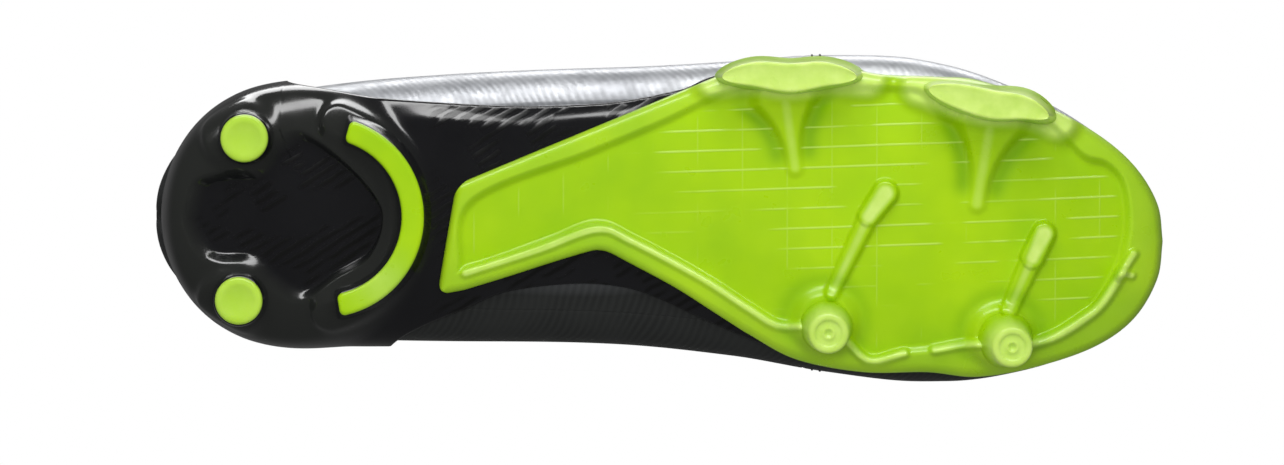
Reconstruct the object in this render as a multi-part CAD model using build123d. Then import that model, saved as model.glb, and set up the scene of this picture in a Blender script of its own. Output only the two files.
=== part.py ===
"""Soccer cleat, right foot: a two-colour studded sole unit under a lasted, laced upper.

Millimetres. +X points to the toe, +Y to the medial (inner) side, +Z up. The cleat stands on its stud tips
at z = 0, with the origin under the middle of its outline. Every layer, from the insole to the plates, is
cut out between two offsets of one foot form, so neighbouring layers follow each other with a set gap.
"""

from build123d import *

import math
import os

# ---------------------------------------------------------------- driving dimensions
FORM_HALF_LENGTH = 137.5  # half the length of the foot form, which the toe bumper and heel wrap cover
GAP = 0.4  # clearance between bonded layers and between neighbouring panels
TONGUE_CLEARANCE = 1.3  # between the tongue and the linings over it
INSOLE_CLEARANCE = 2.2  # between the insole's edge and the linings, which it passes as it lifts

SKIN = 1.3  # outer synthetic skin
STIFFENER = 1.0  # toe puff and heel stiffener, inside the skin
LINING = 0.7  # textile lining
INSOLE_FOAM = 3.4
INSOLE_CLOTH = 0.8
COLLAR_FOAM = 3.4
TONGUE_CLOTH = 0.7
TONGUE_FOAM = 3.0
OVERLAY = 0.9  # eyestays, heel cap and pull tab, outside the skin
LACE_THICKNESS = 1.2
LACE_WIDTH = 5.0

HEEL_FLOOR = 2.0  # heel plate in its dished middle and along its sides
HEEL_RIM = 4.2  # heel plate round the dish
FORE_FLOOR = 3.0  # forefoot plate in the tray
FORE_RIM = 5.0  # forefoot plate at its raised rim
RIM_WIDTH = 5.5
TIP_HEIGHT = 2.2  # separately moulded tips of the heel studs

# The foot form's outer surface, as (x, value) pairs that are joined smoothly.
CENTRE_Y = [(-137.5, -0.3), (-110, -0.7), (-70, -2.3), (-20, -3.3), (20, -2.6), (65, 0.1), (100, 3.6),
            (125, 6.0), (137.5, 6.3)]
HALF_WIDTH = [(-137.5, 0.0), (-136, 7.4), (-131.5, 17.2), (-126, 24.2), (-120, 28.8), (-111, 32.6), (-95, 35.2),
              (-60, 37.2), (-10, 38.7), (20, 41.0), (45, 44.0), (66, 45.1), (80, 44.0), (100, 39.2), (120, 30.2),
              (130, 21.6), (135.5, 12.4), (137.5, 0.0)]
BOTTOM_Z = [(-137.5, 44.0), (-135, 27.0), (-128, 18.6), (-116, 16.2), (-95, 15.8), (-60, 18.4), (-35, 19.4),
            (0, 17.2), (35, 14.4), (65, 14.2), (95, 16.6), (116, 20.6), (130, 25.6), (137.5, 36.0)]
WIDEST_Z = [(-137.5, 44.0), (-120, 40.0), (-80, 38.0), (-20, 35.0), (40, 30.0), (90, 31.0), (125, 35.0),
            (137.5, 36.0)]
TOP_Z = [(-137.5, 44.0), (-136, 74.0), (-133, 94.0), (-126, 114.0), (-110, 126.0), (-85, 128.0), (-60, 121.5),
         (-30, 108.0), (0, 94.0), (30, 80.5), (60, 69.5), (90, 62.0), (113, 56.0), (128, 50.0), (137.5, 36.0)]
BOTTOM_POWER = [(-137.5, 2.4), (-100, 2.9), (-40, 2.5), (30, 2.9), (80, 3.0), (137.5, 2.3)]
TOP_POWER = [(-137.5, 2.1), (-90, 2.1), (-30, 1.75), (20, 1.7), (70, 1.95), (110, 2.2), (137.5, 2.1)]

SECTION_POINTS = 20  # points round each section of the form
# Where the form and every sheet on it have their sections, closer together towards the round ends.
STATIONS = [-136.9, -134.6, -131, -126, -120, -112, -103, -93, -82, -70, -61, -58, -46, -34, -22, -10, 2, 14, 27,
            40, 52, 64, 76, 86, 95, 103, 110, 117, 123, 128, 132, 134.6, 136.9]

# Plan outlines, (x, y).
FORE_LATERAL = [(15.4, -39.6), (26.5, -43.2), (37.5, -44.2), (48.6, -43.2), (60, -40.4), (76, -39.6), (88, -38.6),
                (104, -32.9), (120.6, -24.1), (131.7, -14.8), (138.4, -4.0), (140, 6.5)]
FORE_MEDIAL = [(140, 6.5), (138.4, 17.0), (131.7, 28.0), (120.6, 35.7), (104, 41.2), (88, 43.8), (74, 42.4),
               (56, 42.4), (37.5, 38.8), (23.4, 31.2)]
FORE_NOTCH = (-16.8, 6.5)
FORE_TAIL = [(-61.9, 20.2), (-56.6, -9.7)]
NOTCH_R = 12.0
HEEL_LATERAL = [(14.0, -41.0), (5.4, -36.8), (-11.2, -33.5), (-27.8, -32.3), (-44.5, -32.3), (-66.6, -33.6),
                (-83, -35.0), (-99.9, -36.9), (-112, -41.5)]
HEEL_MEDIAL = [(-84, 46.0), (-74, 36.0), (-66, 31.0), (-53, 25.4), (-42, 20.8), (-24, 18.6), (-11, 19.4),
               (-1, 22.4), (10, 27.6), (20, 32.2)]
HEEL_BACK_X = -150.0
HEEL_DISH = [(-127, -9.4), (-119, -12.4), (-110, -13.2), (-104.6, -20), (-98.5, -23), (-90, -18.4), (-81, -10.5),
             (-75.6, -1.5), (-79, 9), (-89, 15.4), (-98.5, 20.6), (-106.5, 16.4), (-113, 11), (-124, 9.6),
             (-129.5, 0)]
TRIM_Z = [(-150, 37.0), (-110, 36.0), (-72, 33.0), (0, 32.0), (60, 29.0), (105, 30.0), (150, 35.0)]

FORE_STATIONS = [-64, -50, -36, -26, -20, -16, -11, -3, 6, 15, 23, 31, 39, 48, 57, 66, 76, 85, 94, 103, 110, 117,
                 123, 128, 132, 135, 137, 138.6, 139.6]
TOE_TRIM = [(-64, 32.0), (60, 29.0), (105, 30.0), (131, 33.0), (137, 33.5), (139.6, 31.0)]

# Studs and ribs: (x, y) at the base and the tip, with their radii or widths.
HEEL_STUDS = {"lateral": (-114.8, -22.9), "medial": (-116.4, 21.9)}
HEEL_STUD_BASE_R, HEEL_STUD_TIP_R = 9.4, 6.5
BLADE_CENTRE, BLADE_OUTER_R, BLADE_INNER_R = (-93.0, -1.2), 27.6, 21.7
BLADE_START, BLADE_END = -74.0, 80.0  # degrees from +X, lateral side first
BLADE_SPREAD = 1.6  # how much wider the blade is at its root, on each side
MEDIAL_STUDS = [((45.6, 28.2), (46.4, 31.0)), ((94.4, 32.2), (97.2, 34.8))]
MEDIAL_STUD_BASE_R, MEDIAL_STUD_TIP_R = 7.4, 5.0
LATERAL_STUDS = [((20, -41), (35, -34.6), (50, -40)), ((77, -37), (91, -25.6), (105, -30))]
LATERAL_TIPS = [((22, -40.6), (36, -41.4), (47, -40.4)), ((79, -36.6), (91.5, -33.8), (103, -29.2))]
RIBS = [((48.3, 22.3), (63, -8.2), 4.4), ((97, 26), (106.6, 3.6), 4.2), ((35, -35), (38.4, -13), 3.6),
        ((90.4, -27), (87.8, -3.6), 3.6)]
RIB_Z, RIB_TOP_Z = 9.2, 17.6  # lowest face of the ribs, and the height they are rooted at
STUD_ROOT_Z = 17.0  # studs are built up to here, and cut back to just below the plate's inner face
ROOT_DEPTH = 0.9

# The upper.
TOPLINE = [(-150, 91), (-137, 91), (-127, 86), (-111, 73.5), (-94, 67), (-77, 67.5), (-62, 77), (-51, 91),
           (-44, 106), (-42, 120)]
COLLAR_DEPTH = 20.0  # how far the padding reaches down from the topline
COLLAR_FRONT_X = -62.0
LINING_TOP = [(-150, 64), (-137, 64), (-127, 60), (-111, 50), (-94, 45), (-77, 45.5), (-61, 54), (-58, 70),
              (-55, 82), (-51, 89.5), (-44, 104.5), (-42, 119.5)]
THROAT_TOE_X, THROAT_TOP_X = 40.0, -75.0
THROAT_HALF_WIDTH, THROAT_TOP_HALF_WIDTH = 9.5, 14.5
EYESTAY_WIDTH = 13.0
EYESTAY_TOP_X = -42.0
HEEL_STATION, TOE_STATION = -134.6, 134.6  # end sections of the upper's sheets
END_WALL_X = 136.9  # where the walls that close the upper's toe and heel end
COUNTER_TOP_Z = 52.0
EYELET_X = [30, 17, 4, -9, -22, -35]
EYELET_INSET = 6.0  # eyelet centre from the throat's edge
EYELET_R = 2.1
STROBEL_MARGIN = 10.0
INSOLE_MARGIN = 9.0
TONGUE_HALF_WIDTH = 21.0
TONGUE_TOE_X, TONGUE_TOP_X = 46.0, -59.0
HEEL_CAP_X = -92.0

MIN_SLOT = 0.8  # half-width that the upper's bottom opening never goes below, under the toe and heel
TALL = 200.0  # taller than the cleat, for cutters


# ---------------------------------------------------------------- the foot form
def along(x):
    """Position from 0 at the heel's back to 1 at the toe, spaced so that round ends come out round."""
    return math.acos(max(-1.0, min(1.0, -x / FORM_HALF_LENGTH))) / math.pi


def profile(points):
    """A smooth curve through (x, value) points that never overshoots them, as a function of x."""
    u = [along(x) for x, _ in points]
    v = [value for _, value in points]
    steps = [b - a for a, b in zip(u, u[1:])]
    slopes = [(d - c) / h for c, d, h in zip(v, v[1:], steps)]
    tangents = [slopes[0]]
    for before, after, h0, h1 in zip(slopes, slopes[1:], steps, steps[1:]):
        w0, w1 = 2 * h1 + h0, h1 + 2 * h0
        turns_back = before * after <= 0
        tangents.append(0.0 if turns_back else (w0 + w1) / (w0 / before + w1 / after))
    tangents.append(slopes[-1])

    def value_at(x):
        at = along(x)
        i = max(0, min(len(steps) - 1, sum(at > k for k in u[1:-1])))
        t = (at - u[i]) / steps[i]
        return (
            v[i] * (1 + 2 * t) * (1 - t) ** 2
            + steps[i] * tangents[i] * t * (1 - t) ** 2
            + v[i + 1] * t * t * (3 - 2 * t)
            + steps[i] * tangents[i + 1] * t * t * (t - 1)
        )

    return value_at


centre_y = profile(CENTRE_Y)
half_width = profile(HALF_WIDTH)
bottom_z = profile(BOTTOM_Z)
widest_z = profile(WIDEST_Z)
top_z = profile(TOP_Z)
bottom_power = profile(BOTTOM_POWER)
top_power = profile(TOP_POWER)


def taken_in(size, inset):
    """A half-size taken in by inset, which still closes smoothly where the half-size goes to nothing."""
    softness = max(5.0, 1.15 * inset)
    return size - inset * size / math.hypot(size, softness)


def section_size(x, inset):
    """Half-width, widest height, and the heights below and above it, of the form's section at x."""
    at = x * FORM_HALF_LENGTH / (FORM_HALF_LENGTH - inset)
    middle = widest_z(at)
    below = taken_in(middle - bottom_z(at), inset)
    above = taken_in(top_z(at) - middle, inset)
    return taken_in(half_width(at), inset), middle, below, above


def surface_point(x, turn, inset):
    """A point of the form at x; turn goes from the medial side (0) over the top to the lateral side (pi)."""
    width, middle, below, above = section_size(x, inset)
    c, s = math.cos(turn), math.sin(turn)
    power, height = (bottom_power(x), below) if s < 0 else (top_power(x), above)
    y = width * math.copysign(abs(c) ** (2 / power), c)
    z = height * math.copysign(abs(s) ** (2 / power), s)
    return Vector(x, centre_y(x) + y, middle + z)


def turn_at_height(x, side, z, inset):
    """Where the section reaches height z on one side, as a turn; side is -1 for lateral, 1 for medial."""
    _, middle, below, above = section_size(x, inset)
    power, height = (bottom_power(x), below) if z < middle else (top_power(x), above)
    ratio = min(0.999, abs(z - middle) / height)
    turn = math.copysign(math.asin(ratio ** (power / 2)), z - middle)
    return turn if side > 0 else math.pi - turn


def turn_at_width(x, y_from_centre, inset, top=True):
    """Where the section's top or bottom is y_from_centre off its centre line, as a turn."""
    power = top_power(x) if top else bottom_power(x)
    ratio = min(0.999, abs(y_from_centre) / section_size(x, inset)[0])
    turn = math.acos(math.copysign(ratio ** (power / 2), y_from_centre))
    return turn if top else -turn


def section(x, inset):
    """One closed section across the form at x."""
    turns = [2 * math.pi * (k + 0.5) / SECTION_POINTS for k in range(SECTION_POINTS)]
    return Wire([Edge.make_spline([surface_point(x, turn, inset) for turn in turns], periodic=True)])


def form(inset):
    """The solid foot form, taken in by inset: 0 is the upper's outside, and a minus inset lies outside it."""
    scale = (FORM_HALF_LENGTH - inset) / FORM_HALF_LENGTH
    return Solid.make_loft([section(x * scale, inset) for x in STATIONS], ruled=True)


def sheet(xs, span, outer, inner, count=15):
    """A sheet of the upper between two insets, over the turns span(x) = (first, last) at each x."""
    wires = []
    for x in xs:
        first, last = span(x)
        turns = [first + (last - first) * k / (count - 1) for k in range(count)]
        out = [surface_point(x, turn, outer) for turn in turns]
        back = [surface_point(x, turn, inner) for turn in reversed(turns)]
        wires.append(Wire([
            Edge.make_spline(out), Edge.make_line(out[-1], back[0]),
            Edge.make_spline(back), Edge.make_line(back[-1], out[0]),
        ]))
    return Solid.make_loft(wires, ruled=True)


def stations(low, high):
    """Sections of a sheet from low to high, shared with every other sheet so that they nest."""
    return [low, *[x for x in STATIONS if low + 1.5 < x < high - 1.5], high]


def layer(outer, inner, region):
    """The part of a region that lies between two insets of the form."""
    return (region & form(outer)) - form(inner)


# ---------------------------------------------------------------- cutters
def standing(wire, low=-TALL, high=TALL):
    """An upright prism on a closed wire in the XY plane."""
    return Pos(0, 0, low) * Solid.extrude(Face(wire), Vector(0, 0, high - low))


def side_on(edges_xz):
    """A prism right through the cleat from side to side, on an outline given as (x, z) edges or points."""
    face = Plane.XZ * make_face(edges_xz)
    return extrude(face, amount=TALL, both=True)


def polygon_side(points):
    return side_on(Polyline(*points, close=True))


def strip(points, width, low, high):
    """An upright wall of the given width along a line in plan."""
    return extrude(Pos(0, 0, low) * trace(Polyline(*points), width), amount=high - low)


def margin_width(x, margin):
    """Half-width of the plan outline that runs at a constant margin inside the form's own."""
    reach = FORM_HALF_LENGTH - margin
    if abs(x) >= reach:
        return 0.0
    return taken_in(half_width(x * FORM_HALF_LENGTH / reach), margin)


def bottom_edge_turns(x, margin, inset):
    """Turns where the bottom's margin line lies, on the medial and on the lateral side."""
    width = max(MIN_SLOT, margin_width(x, margin))
    return turn_at_width(x, width, inset, top=False), 2 * math.pi + turn_at_width(x, -width, inset, top=False)


def bottom_span(margin, inset):
    """The bottom inside the margin, as a span for sheet."""

    def span(x):
        medial, lateral = bottom_edge_turns(x, margin, inset)
        return lateral - 2 * math.pi, medial

    return span


def fore_wire():
    """Plan outline of the forefoot plate: a straight-sided tail with a notch, and a round forefoot."""
    lateral = Edge.make_spline([Vector(x, y, 0) for x, y in FORE_LATERAL])
    medial = Edge.make_spline([Vector(x, y, 0) for x, y in FORE_MEDIAL])
    corners = [FORE_MEDIAL[-1], FORE_NOTCH, *FORE_TAIL, FORE_LATERAL[0]]
    straights = [Edge.make_line(Vector(*a, 0), Vector(*b, 0)) for a, b in zip(corners, corners[1:])]
    wire = Wire([lateral, medial, *straights])
    notch = min(wire.vertices(), key=lambda v: (v.X - FORE_NOTCH[0]) ** 2 + (v.Y - FORE_NOTCH[1]) ** 2)
    return wire.fillet_2d(NOTCH_R, [notch])


def between(points):
    """Straight interpolation through (x, value) points, as a function of x."""

    def value_at(x):
        for (x0, v0), (x1, v1) in zip(points, points[1:]):
            if x <= x1:
                break
        return v0 + (v1 - v0) * (x - x0) / (x1 - x0)

    return value_at


fore_lateral_y = between([FORE_TAIL[1], *FORE_LATERAL[:-1], (140, 5.5)])
fore_medial_y = between([FORE_TAIL[0], FORE_NOTCH, *FORE_MEDIAL[:0:-1], (140, 7.5)])
fore_trim_z = between(TOE_TRIM)


def heel_wire():
    """Plan outline of the heel plate, open round the heel, where the trim height ends it instead."""
    lateral = Edge.make_spline([Vector(x, y, 0) for x, y in HEEL_LATERAL])
    medial = Edge.make_spline([Vector(x, y, 0) for x, y in HEEL_MEDIAL])
    back = [(HEEL_BACK_X, HEEL_LATERAL[-1][1]), (HEEL_BACK_X, HEEL_MEDIAL[0][1])]
    corners = [HEEL_LATERAL[-1], *back, HEEL_MEDIAL[0]]
    straights = [Edge.make_line(Vector(*a, 0), Vector(*b, 0)) for a, b in zip(corners, corners[1:])]
    front = Edge.make_line(Vector(*HEEL_MEDIAL[-1], 0), Vector(*HEEL_LATERAL[0], 0))
    return Wire([lateral, *straights, medial, front])


def below_trim():
    return polygon_side([*TRIM_Z, (150, -50), (-150, -50)])


def cone(base, base_r, base_z, tip, tip_r, tip_z):
    """A leaning round stud between a base circle and a tip circle."""
    root = Wire.make_circle(base_r, Plane((base[0], base[1], base_z)))
    end = Wire.make_circle(tip_r, Plane((tip[0], tip[1], tip_z)))
    return Solid.make_loft([end, root], ruled=True)


def sector_wire(spread, z):
    """Outline of the heel blade at height z, spread outwards by the given amount."""
    centre = Vector(*BLADE_CENTRE, z)
    start, end = (math.radians(a) for a in (BLADE_START - 2 * spread, BLADE_END + 2 * spread))

    def at(radius, turn):
        return centre + Vector(math.cos(turn), math.sin(turn), 0) * radius

    outer, inner, mid = BLADE_OUTER_R + spread, BLADE_INNER_R - spread, (start + end) / 2
    return Wire([
        Edge.make_three_point_arc(at(outer, start), at(outer, mid), at(outer, end)),
        Edge.make_line(at(outer, end), at(inner, end)),
        Edge.make_three_point_arc(at(inner, end), at(inner, mid), at(inner, start)),
        Edge.make_line(at(inner, start), at(outer, start)),
    ])


def crescent_wire(points, bulge, z):
    """A closed lens through three points, whose far side stands out by bulge towards the shoe's edge."""
    a, b, c = (Vector(x, y, z) for x, y in points)
    back = b + Vector(0, -bulge, 0)
    return Wire([Edge.make_three_point_arc(a, b, c), Edge.make_three_point_arc(c, back, a)])


# ---------------------------------------------------------------- sole unit
def heel_stud_roots():
    """The two round studs and the crescent blade, down to where their tips are moulded on."""
    studs = [cone(at, HEEL_STUD_BASE_R, STUD_ROOT_Z, at, HEEL_STUD_TIP_R, TIP_HEIGHT) for at in HEEL_STUDS.values()]
    blade = Solid.make_loft([sector_wire(0, TIP_HEIGHT), sector_wire(BLADE_SPREAD, STUD_ROOT_Z)], ruled=True)
    return [*studs, blade]


def heel_plate():
    fore = standing(fore_wire().offset_2d(GAP), -20, 70)
    region = (standing(heel_wire(), -10, 60) & below_trim()) - fore
    floor = layer(-HEEL_FLOOR, -GAP, region)
    dish = Wire([Edge.make_spline([Vector(x, y, 0) for x, y in HEEL_DISH], periodic=True)])
    block = Pos(-101, -1, 10) * Cylinder(37, 26)
    inside = -GAP - ROOT_DEPTH
    rim = layer(-HEEL_RIM, inside, block - standing(dish, -20, 60))
    core = form(inside)
    return floor.fuse(rim, *[stud - core for stud in heel_stud_roots()])


def heel_tips():
    caps = {
        f"heel_stud_tip_{side}": Pos(at[0], at[1], TIP_HEIGHT / 2) * Cylinder(HEEL_STUD_TIP_R, TIP_HEIGHT)
        for side, at in HEEL_STUDS.items()
    }
    caps = {name: fillet(cap.edges().group_by(Axis.Z)[0], 0.9) for name, cap in caps.items()}
    blade = Solid.extrude(Face(sector_wire(0, 0)), Vector(0, 0, TIP_HEIGHT))
    uprights = blade.edges().filter_by(Axis.Z)
    caps["heel_blade_tip"] = blade.fillet(1.6, uprights)
    return caps


def fore_plate_section(x):
    """The forefoot plate's section at x: a floor, a raised rim along each edge, and upright outer edges."""
    lateral, medial = fore_lateral_y(x), fore_medial_y(x)
    trim = fore_trim_z(x)

    def height(y, inset):
        reach = FORM_HALF_LENGTH - inset
        width = section_size(x, inset)[0] if abs(x) < reach else 0.0
        offset = abs(y - centre_y(x))
        if offset >= width * 0.995:
            return trim
        return min(trim, surface_point(x, turn_at_width(x, y - centre_y(x), inset, top=False), inset).Z)

    def run(start, end, inset, count):
        ys = [start + (end - start) * (1 - math.cos(math.pi * k / (count - 1))) / 2 for k in range(count)]
        return [Vector(x, y, height(y, inset)) for y in ys]

    rim = min(RIM_WIDTH, (medial - lateral) / 3)
    outer = [run(lateral, lateral + rim, -FORE_RIM, 5), run(lateral + rim, medial - rim, -FORE_FLOOR, 7),
             run(medial - rim, medial, -FORE_RIM, 5)]
    inner = run(medial, lateral, -GAP, 11)
    lifted = [Vector(p.X, p.Y, max(p.Z, height(p.Y, -FORE_RIM) + 1.2)) for p in inner]
    runs = [*outer, lifted]
    edges = []
    for points, following in zip(runs, runs[1:] + runs[:1]):
        edges += [Edge.make_spline(points), Edge.make_line(points[-1], following[0])]
    return Wire(edges)


def forefoot_plate():
    plate = Solid.make_loft([fore_plate_section(x) for x in FORE_STATIONS], ruled=True)
    tail = [*FORE_TAIL[::-1], (FORE_TAIL[0][0] - 20, 60), (-120, 60), (-120, -60), (FORE_TAIL[1][0] + 3, -60)]
    plate = plate - standing(Wire.make_polygon([(x, y, 0) for x, y in tail], close=True), -20, 70)
    core = form(-GAP - ROOT_DEPTH)
    region = standing(fore_wire(), -10, 60)
    studs = [cone(base, MEDIAL_STUD_BASE_R, STUD_ROOT_Z, tip, MEDIAL_STUD_TIP_R, 0) for base, tip in MEDIAL_STUDS]
    for base, tip in zip(LATERAL_STUDS, LATERAL_TIPS):
        stud = Solid.make_loft([crescent_wire(tip, 3.2, 0), crescent_wire(base, 8.0, STUD_ROOT_Z)], ruled=True)
        studs.append(stud & region)
    for start, end, width in RIBS:
        studs.append(strip([start, end], width, RIB_Z, RIB_TOP_Z))
    return plate.fuse(*[stud - core for stud in studs])


# ---------------------------------------------------------------- upper
topline = between(TOPLINE)


def eyelet_points(side):
    """Plan positions of one side's eyelets; side is -1 for lateral and 1 for medial."""
    return [(x, centre_y(x) + side * (throat_half(x) + EYELET_INSET)) for x in EYELET_X]


def eyelet_holes():
    return [Pos(x, y, 100) * Cylinder(EYELET_R, 80) for side in (-1, 1) for x, y in eyelet_points(side)]


def half_space(side, gap=GAP):
    """Everything on one side of the heel's centre line."""
    return Pos(0, side * (TALL / 2 + gap / 2) - 0.8, 50) * Box(500, TALL, 300)


def throat_half(x):
    """Half-width of the lacing gap at x."""
    t = (THROAT_TOE_X - x) / (THROAT_TOE_X - THROAT_TOP_X)
    return THROAT_HALF_WIDTH + t * (THROAT_TOP_HALF_WIDTH - THROAT_HALF_WIDTH)


def wall_span(side, inset, margin, top_height):
    """One side wall, from the bottom's margin line up to the topline or the throat's edge."""

    def span(x):
        medial, lateral = bottom_edge_turns(x, margin, inset)
        edge = throat_half(x) if x > EYESTAY_TOP_X else MIN_SLOT
        throat_turn = turn_at_width(x, side * edge, inset)
        top_turn = turn_at_height(x, side, top_height(x), inset)
        if side > 0:
            return medial, min(throat_turn, top_turn)
        return lateral, max(throat_turn, top_turn)

    return span


def heel_closure(side):
    """The end wall that closes one quarter round the heel's back."""
    start = HEEL_STATION
    back = Solid.make_loft([section(-END_WALL_X, GAP), section(start, GAP)])
    low = Pos(0, 0, topline(start) - TALL / 2) * Box(600, 300, TALL)
    return back & (half_space(side) & low)


def upper_panels():
    holes = eyelet_holes()
    wall_x = stations(HEEL_STATION, THROAT_TOE_X - GAP)
    vamp_x = stations(THROAT_TOE_X, TOE_STATION)

    def over_toe(x):
        return bottom_edge_turns(x, STROBEL_MARGIN - GAP, 0)

    nose = Solid.make_loft([section(TOE_STATION, GAP), section(END_WALL_X, GAP)])
    panels = {"vamp": sheet(vamp_x, over_toe, 0, SKIN, 25).fuse(nose)}
    for name, side in (("lateral_quarter", -1), ("medial_quarter", 1)):
        wall = sheet(wall_x, wall_span(side, 0, STROBEL_MARGIN - GAP, topline), 0, SKIN)
        panels[name] = wall.fuse(heel_closure(side)).cut(*holes)
    ends = (FORM_HALF_LENGTH - STROBEL_MARGIN) * 0.985
    board_x = stations(-ends, ends)
    panels["strobel_board"] = sheet(board_x, bottom_span(STROBEL_MARGIN, 0), 0, SKIN)
    return panels


def inner_pieces():
    """Stiffeners, linings and collar padding: everything bonded inside the skin."""
    holes = eyelet_holes()
    bed = INSOLE_MARGIN - INSOLE_CLEARANCE
    stiff_out = SKIN + GAP
    stiff_in = stiff_out + STIFFENER
    lining_out = stiff_in + GAP
    lining_in = lining_out + LINING
    collar_in = stiff_out + COLLAR_FOAM
    heel_end, toe_end = HEEL_STATION + 3.5, TOE_STATION - 3.5
    under_collar = between(LINING_TOP)

    def over_toe(x):
        return bottom_edge_turns(x, bed, stiff_out)

    def counter_span(side):
        return wall_span(side, stiff_out, bed, lambda x: min(COUNTER_TOP_Z, topline(x) - COLLAR_DEPTH - 2))

    def collar_span(side, inset):
        full = wall_span(side, inset, bed, topline)

        def span(x):
            return turn_at_height(x, side, topline(x) - COLLAR_DEPTH, inset), full(x)[1]

        return span

    wall_x = stations(heel_end, THROAT_TOE_X - GAP)
    collar_x = stations(heel_end, COLLAR_FRONT_X)
    pieces = {
        "toe_puff": sheet(stations(86, toe_end), over_toe, stiff_out, stiff_in, 25),
        "vamp_lining": sheet(stations(THROAT_TOE_X, toe_end), over_toe, lining_out, lining_in, 25),
    }
    for name, side in (("lateral", -1), ("medial", 1)):
        lining = sheet(wall_x, wall_span(side, lining_out, bed, under_collar), lining_out, lining_in)
        pieces[f"{name}_lining"] = lining.cut(*holes)
        pieces[f"{name}_heel_stiffener"] = sheet(stations(heel_end, -92), counter_span(side), stiff_out, stiff_in)
        pieces[f"{name}_collar_padding"] = sheet(collar_x, collar_span(side, stiff_out), stiff_out, collar_in)
        pieces[f"{name}_collar_lining"] = sheet(collar_x, collar_span(side, collar_in), collar_in + GAP,
                                                collar_in + GAP + LINING)
    return pieces


def overlays():
    """Eyestays along the throat, and the heel cap and pull tab at the back."""
    outer = -GAP - OVERLAY
    holes = eyelet_holes()
    stay_x = stations(EYESTAY_TOP_X, THROAT_TOE_X - GAP)

    def stay_span(side):
        def span(x):
            inner_edge = turn_at_width(x, side * throat_half(x), outer)
            return inner_edge, turn_at_width(x, side * (throat_half(x) + EYESTAY_WIDTH), outer)

        return span

    cap_region = polygon_side([(HEEL_CAP_X, 37.5), (-112, 58), (-122, 70), (-160, 70), (-160, 37.5)])
    tab_region = Pos(-140, -0.6, 80) * Box(40, 12, 18)
    return {
        "lateral_eyestay": sheet(stay_x, stay_span(-1), outer, -GAP, 6).cut(*holes),
        "medial_eyestay": sheet(stay_x, stay_span(1), outer, -GAP, 6).cut(*holes),
        "heel_cap": layer(outer, -GAP, cap_region),
        "heel_pull_tab": layer(outer, -GAP, tab_region),
    }


def lace():
    """One flat lace, crossed between the eyelets and tucked down through them."""
    outer = -GAP - OVERLAY - GAP - LACE_THICKNESS
    lateral, medial = eyelet_points(-1), eyelet_points(1)
    crossings = [(lateral[0], medial[0])]
    for i in range(len(EYELET_X) - 1):
        crossings += [(lateral[i], medial[i + 1]), (medial[i], lateral[i + 1])]
    flat = Sketch() + [trace(Polyline(a, b), LACE_WIDTH) for a, b in crossings]
    flat += [Pos(x, y) * Circle(LACE_WIDTH / 2) for x, y in lateral + medial]
    woven = layer(outer, outer + LACE_THICKNESS, extrude(Pos(0, 0, 60) * flat, amount=110))
    top, end = form(outer + LACE_THICKNESS / 2), form(SKIN + STIFFENER + LINING)
    tucked = [((Pos(x, y, 100) * Cylinder(EYELET_R - 0.3, 80)) & top) - end for x, y in lateral + medial]
    return woven.fuse(*tucked)


# ---------------------------------------------------------------- tongue and insole
def tongue_pieces():
    top = SKIN + GAP + STIFFENER + GAP + LINING + TONGUE_CLEARANCE
    foam = top + TONGUE_CLOTH + GAP
    under = foam + TONGUE_FOAM + GAP
    xs = stations(TONGUE_TOP_X, TONGUE_TOE_X)

    def across(half, inset):
        def span(x):
            taper = min(1.0, 0.72 + 0.28 * min(x - TONGUE_TOP_X, TONGUE_TOE_X - x) / 14)
            return turn_at_width(x, half * taper, inset), turn_at_width(x, -half * taper, inset)

        return span

    def piece(outer, thickness, half, stations=xs):
        return sheet(stations, across(half, outer), outer, outer + thickness, 7)

    return {
        "tongue_cover": piece(top, TONGUE_CLOTH, TONGUE_HALF_WIDTH),
        "tongue_padding": piece(foam, TONGUE_FOAM, TONGUE_HALF_WIDTH - 0.8),
        "tongue_lining": piece(under, TONGUE_CLOTH, TONGUE_HALF_WIDTH),
        "tongue_lace_keeper": piece(top - GAP - OVERLAY, OVERLAY, 6.0, stations(-25, 1)),
    }


def insole_pieces():
    under = SKIN + GAP
    top = under + INSOLE_FOAM + GAP
    ends = (FORM_HALF_LENGTH - INSOLE_MARGIN) * 0.985
    xs = stations(-ends, ends)
    return {
        "insole_foam": sheet(xs, bottom_span(INSOLE_MARGIN, under), under, under + INSOLE_FOAM),
        "insole_cloth": sheet(xs, bottom_span(INSOLE_MARGIN, top), top, top + INSOLE_CLOTH),
    }


def build():
    parts = {"heel_plate": heel_plate(), "forefoot_plate": forefoot_plate(), **heel_tips()}
    for group in (upper_panels, inner_pieces, overlays, tongue_pieces, insole_pieces):
        parts.update(group())
    parts["lace"] = lace()
    return parts


if __name__ == "__main__":
    os.makedirs("parts", exist_ok=True)
    for name, shape in build().items():
        export_step(shape, f"parts/{name}.step")
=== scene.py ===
"""Looks of the soccer cleat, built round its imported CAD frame.

Shapes are worked out in millimetres from the same foot form as the CAD model, and made in metres. The
camera looks up at the sole, with the toe to the right and the lateral side on top.
"""

import math

import bmesh
import bpy
import numpy as np
from mathutils import Matrix, Vector


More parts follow.
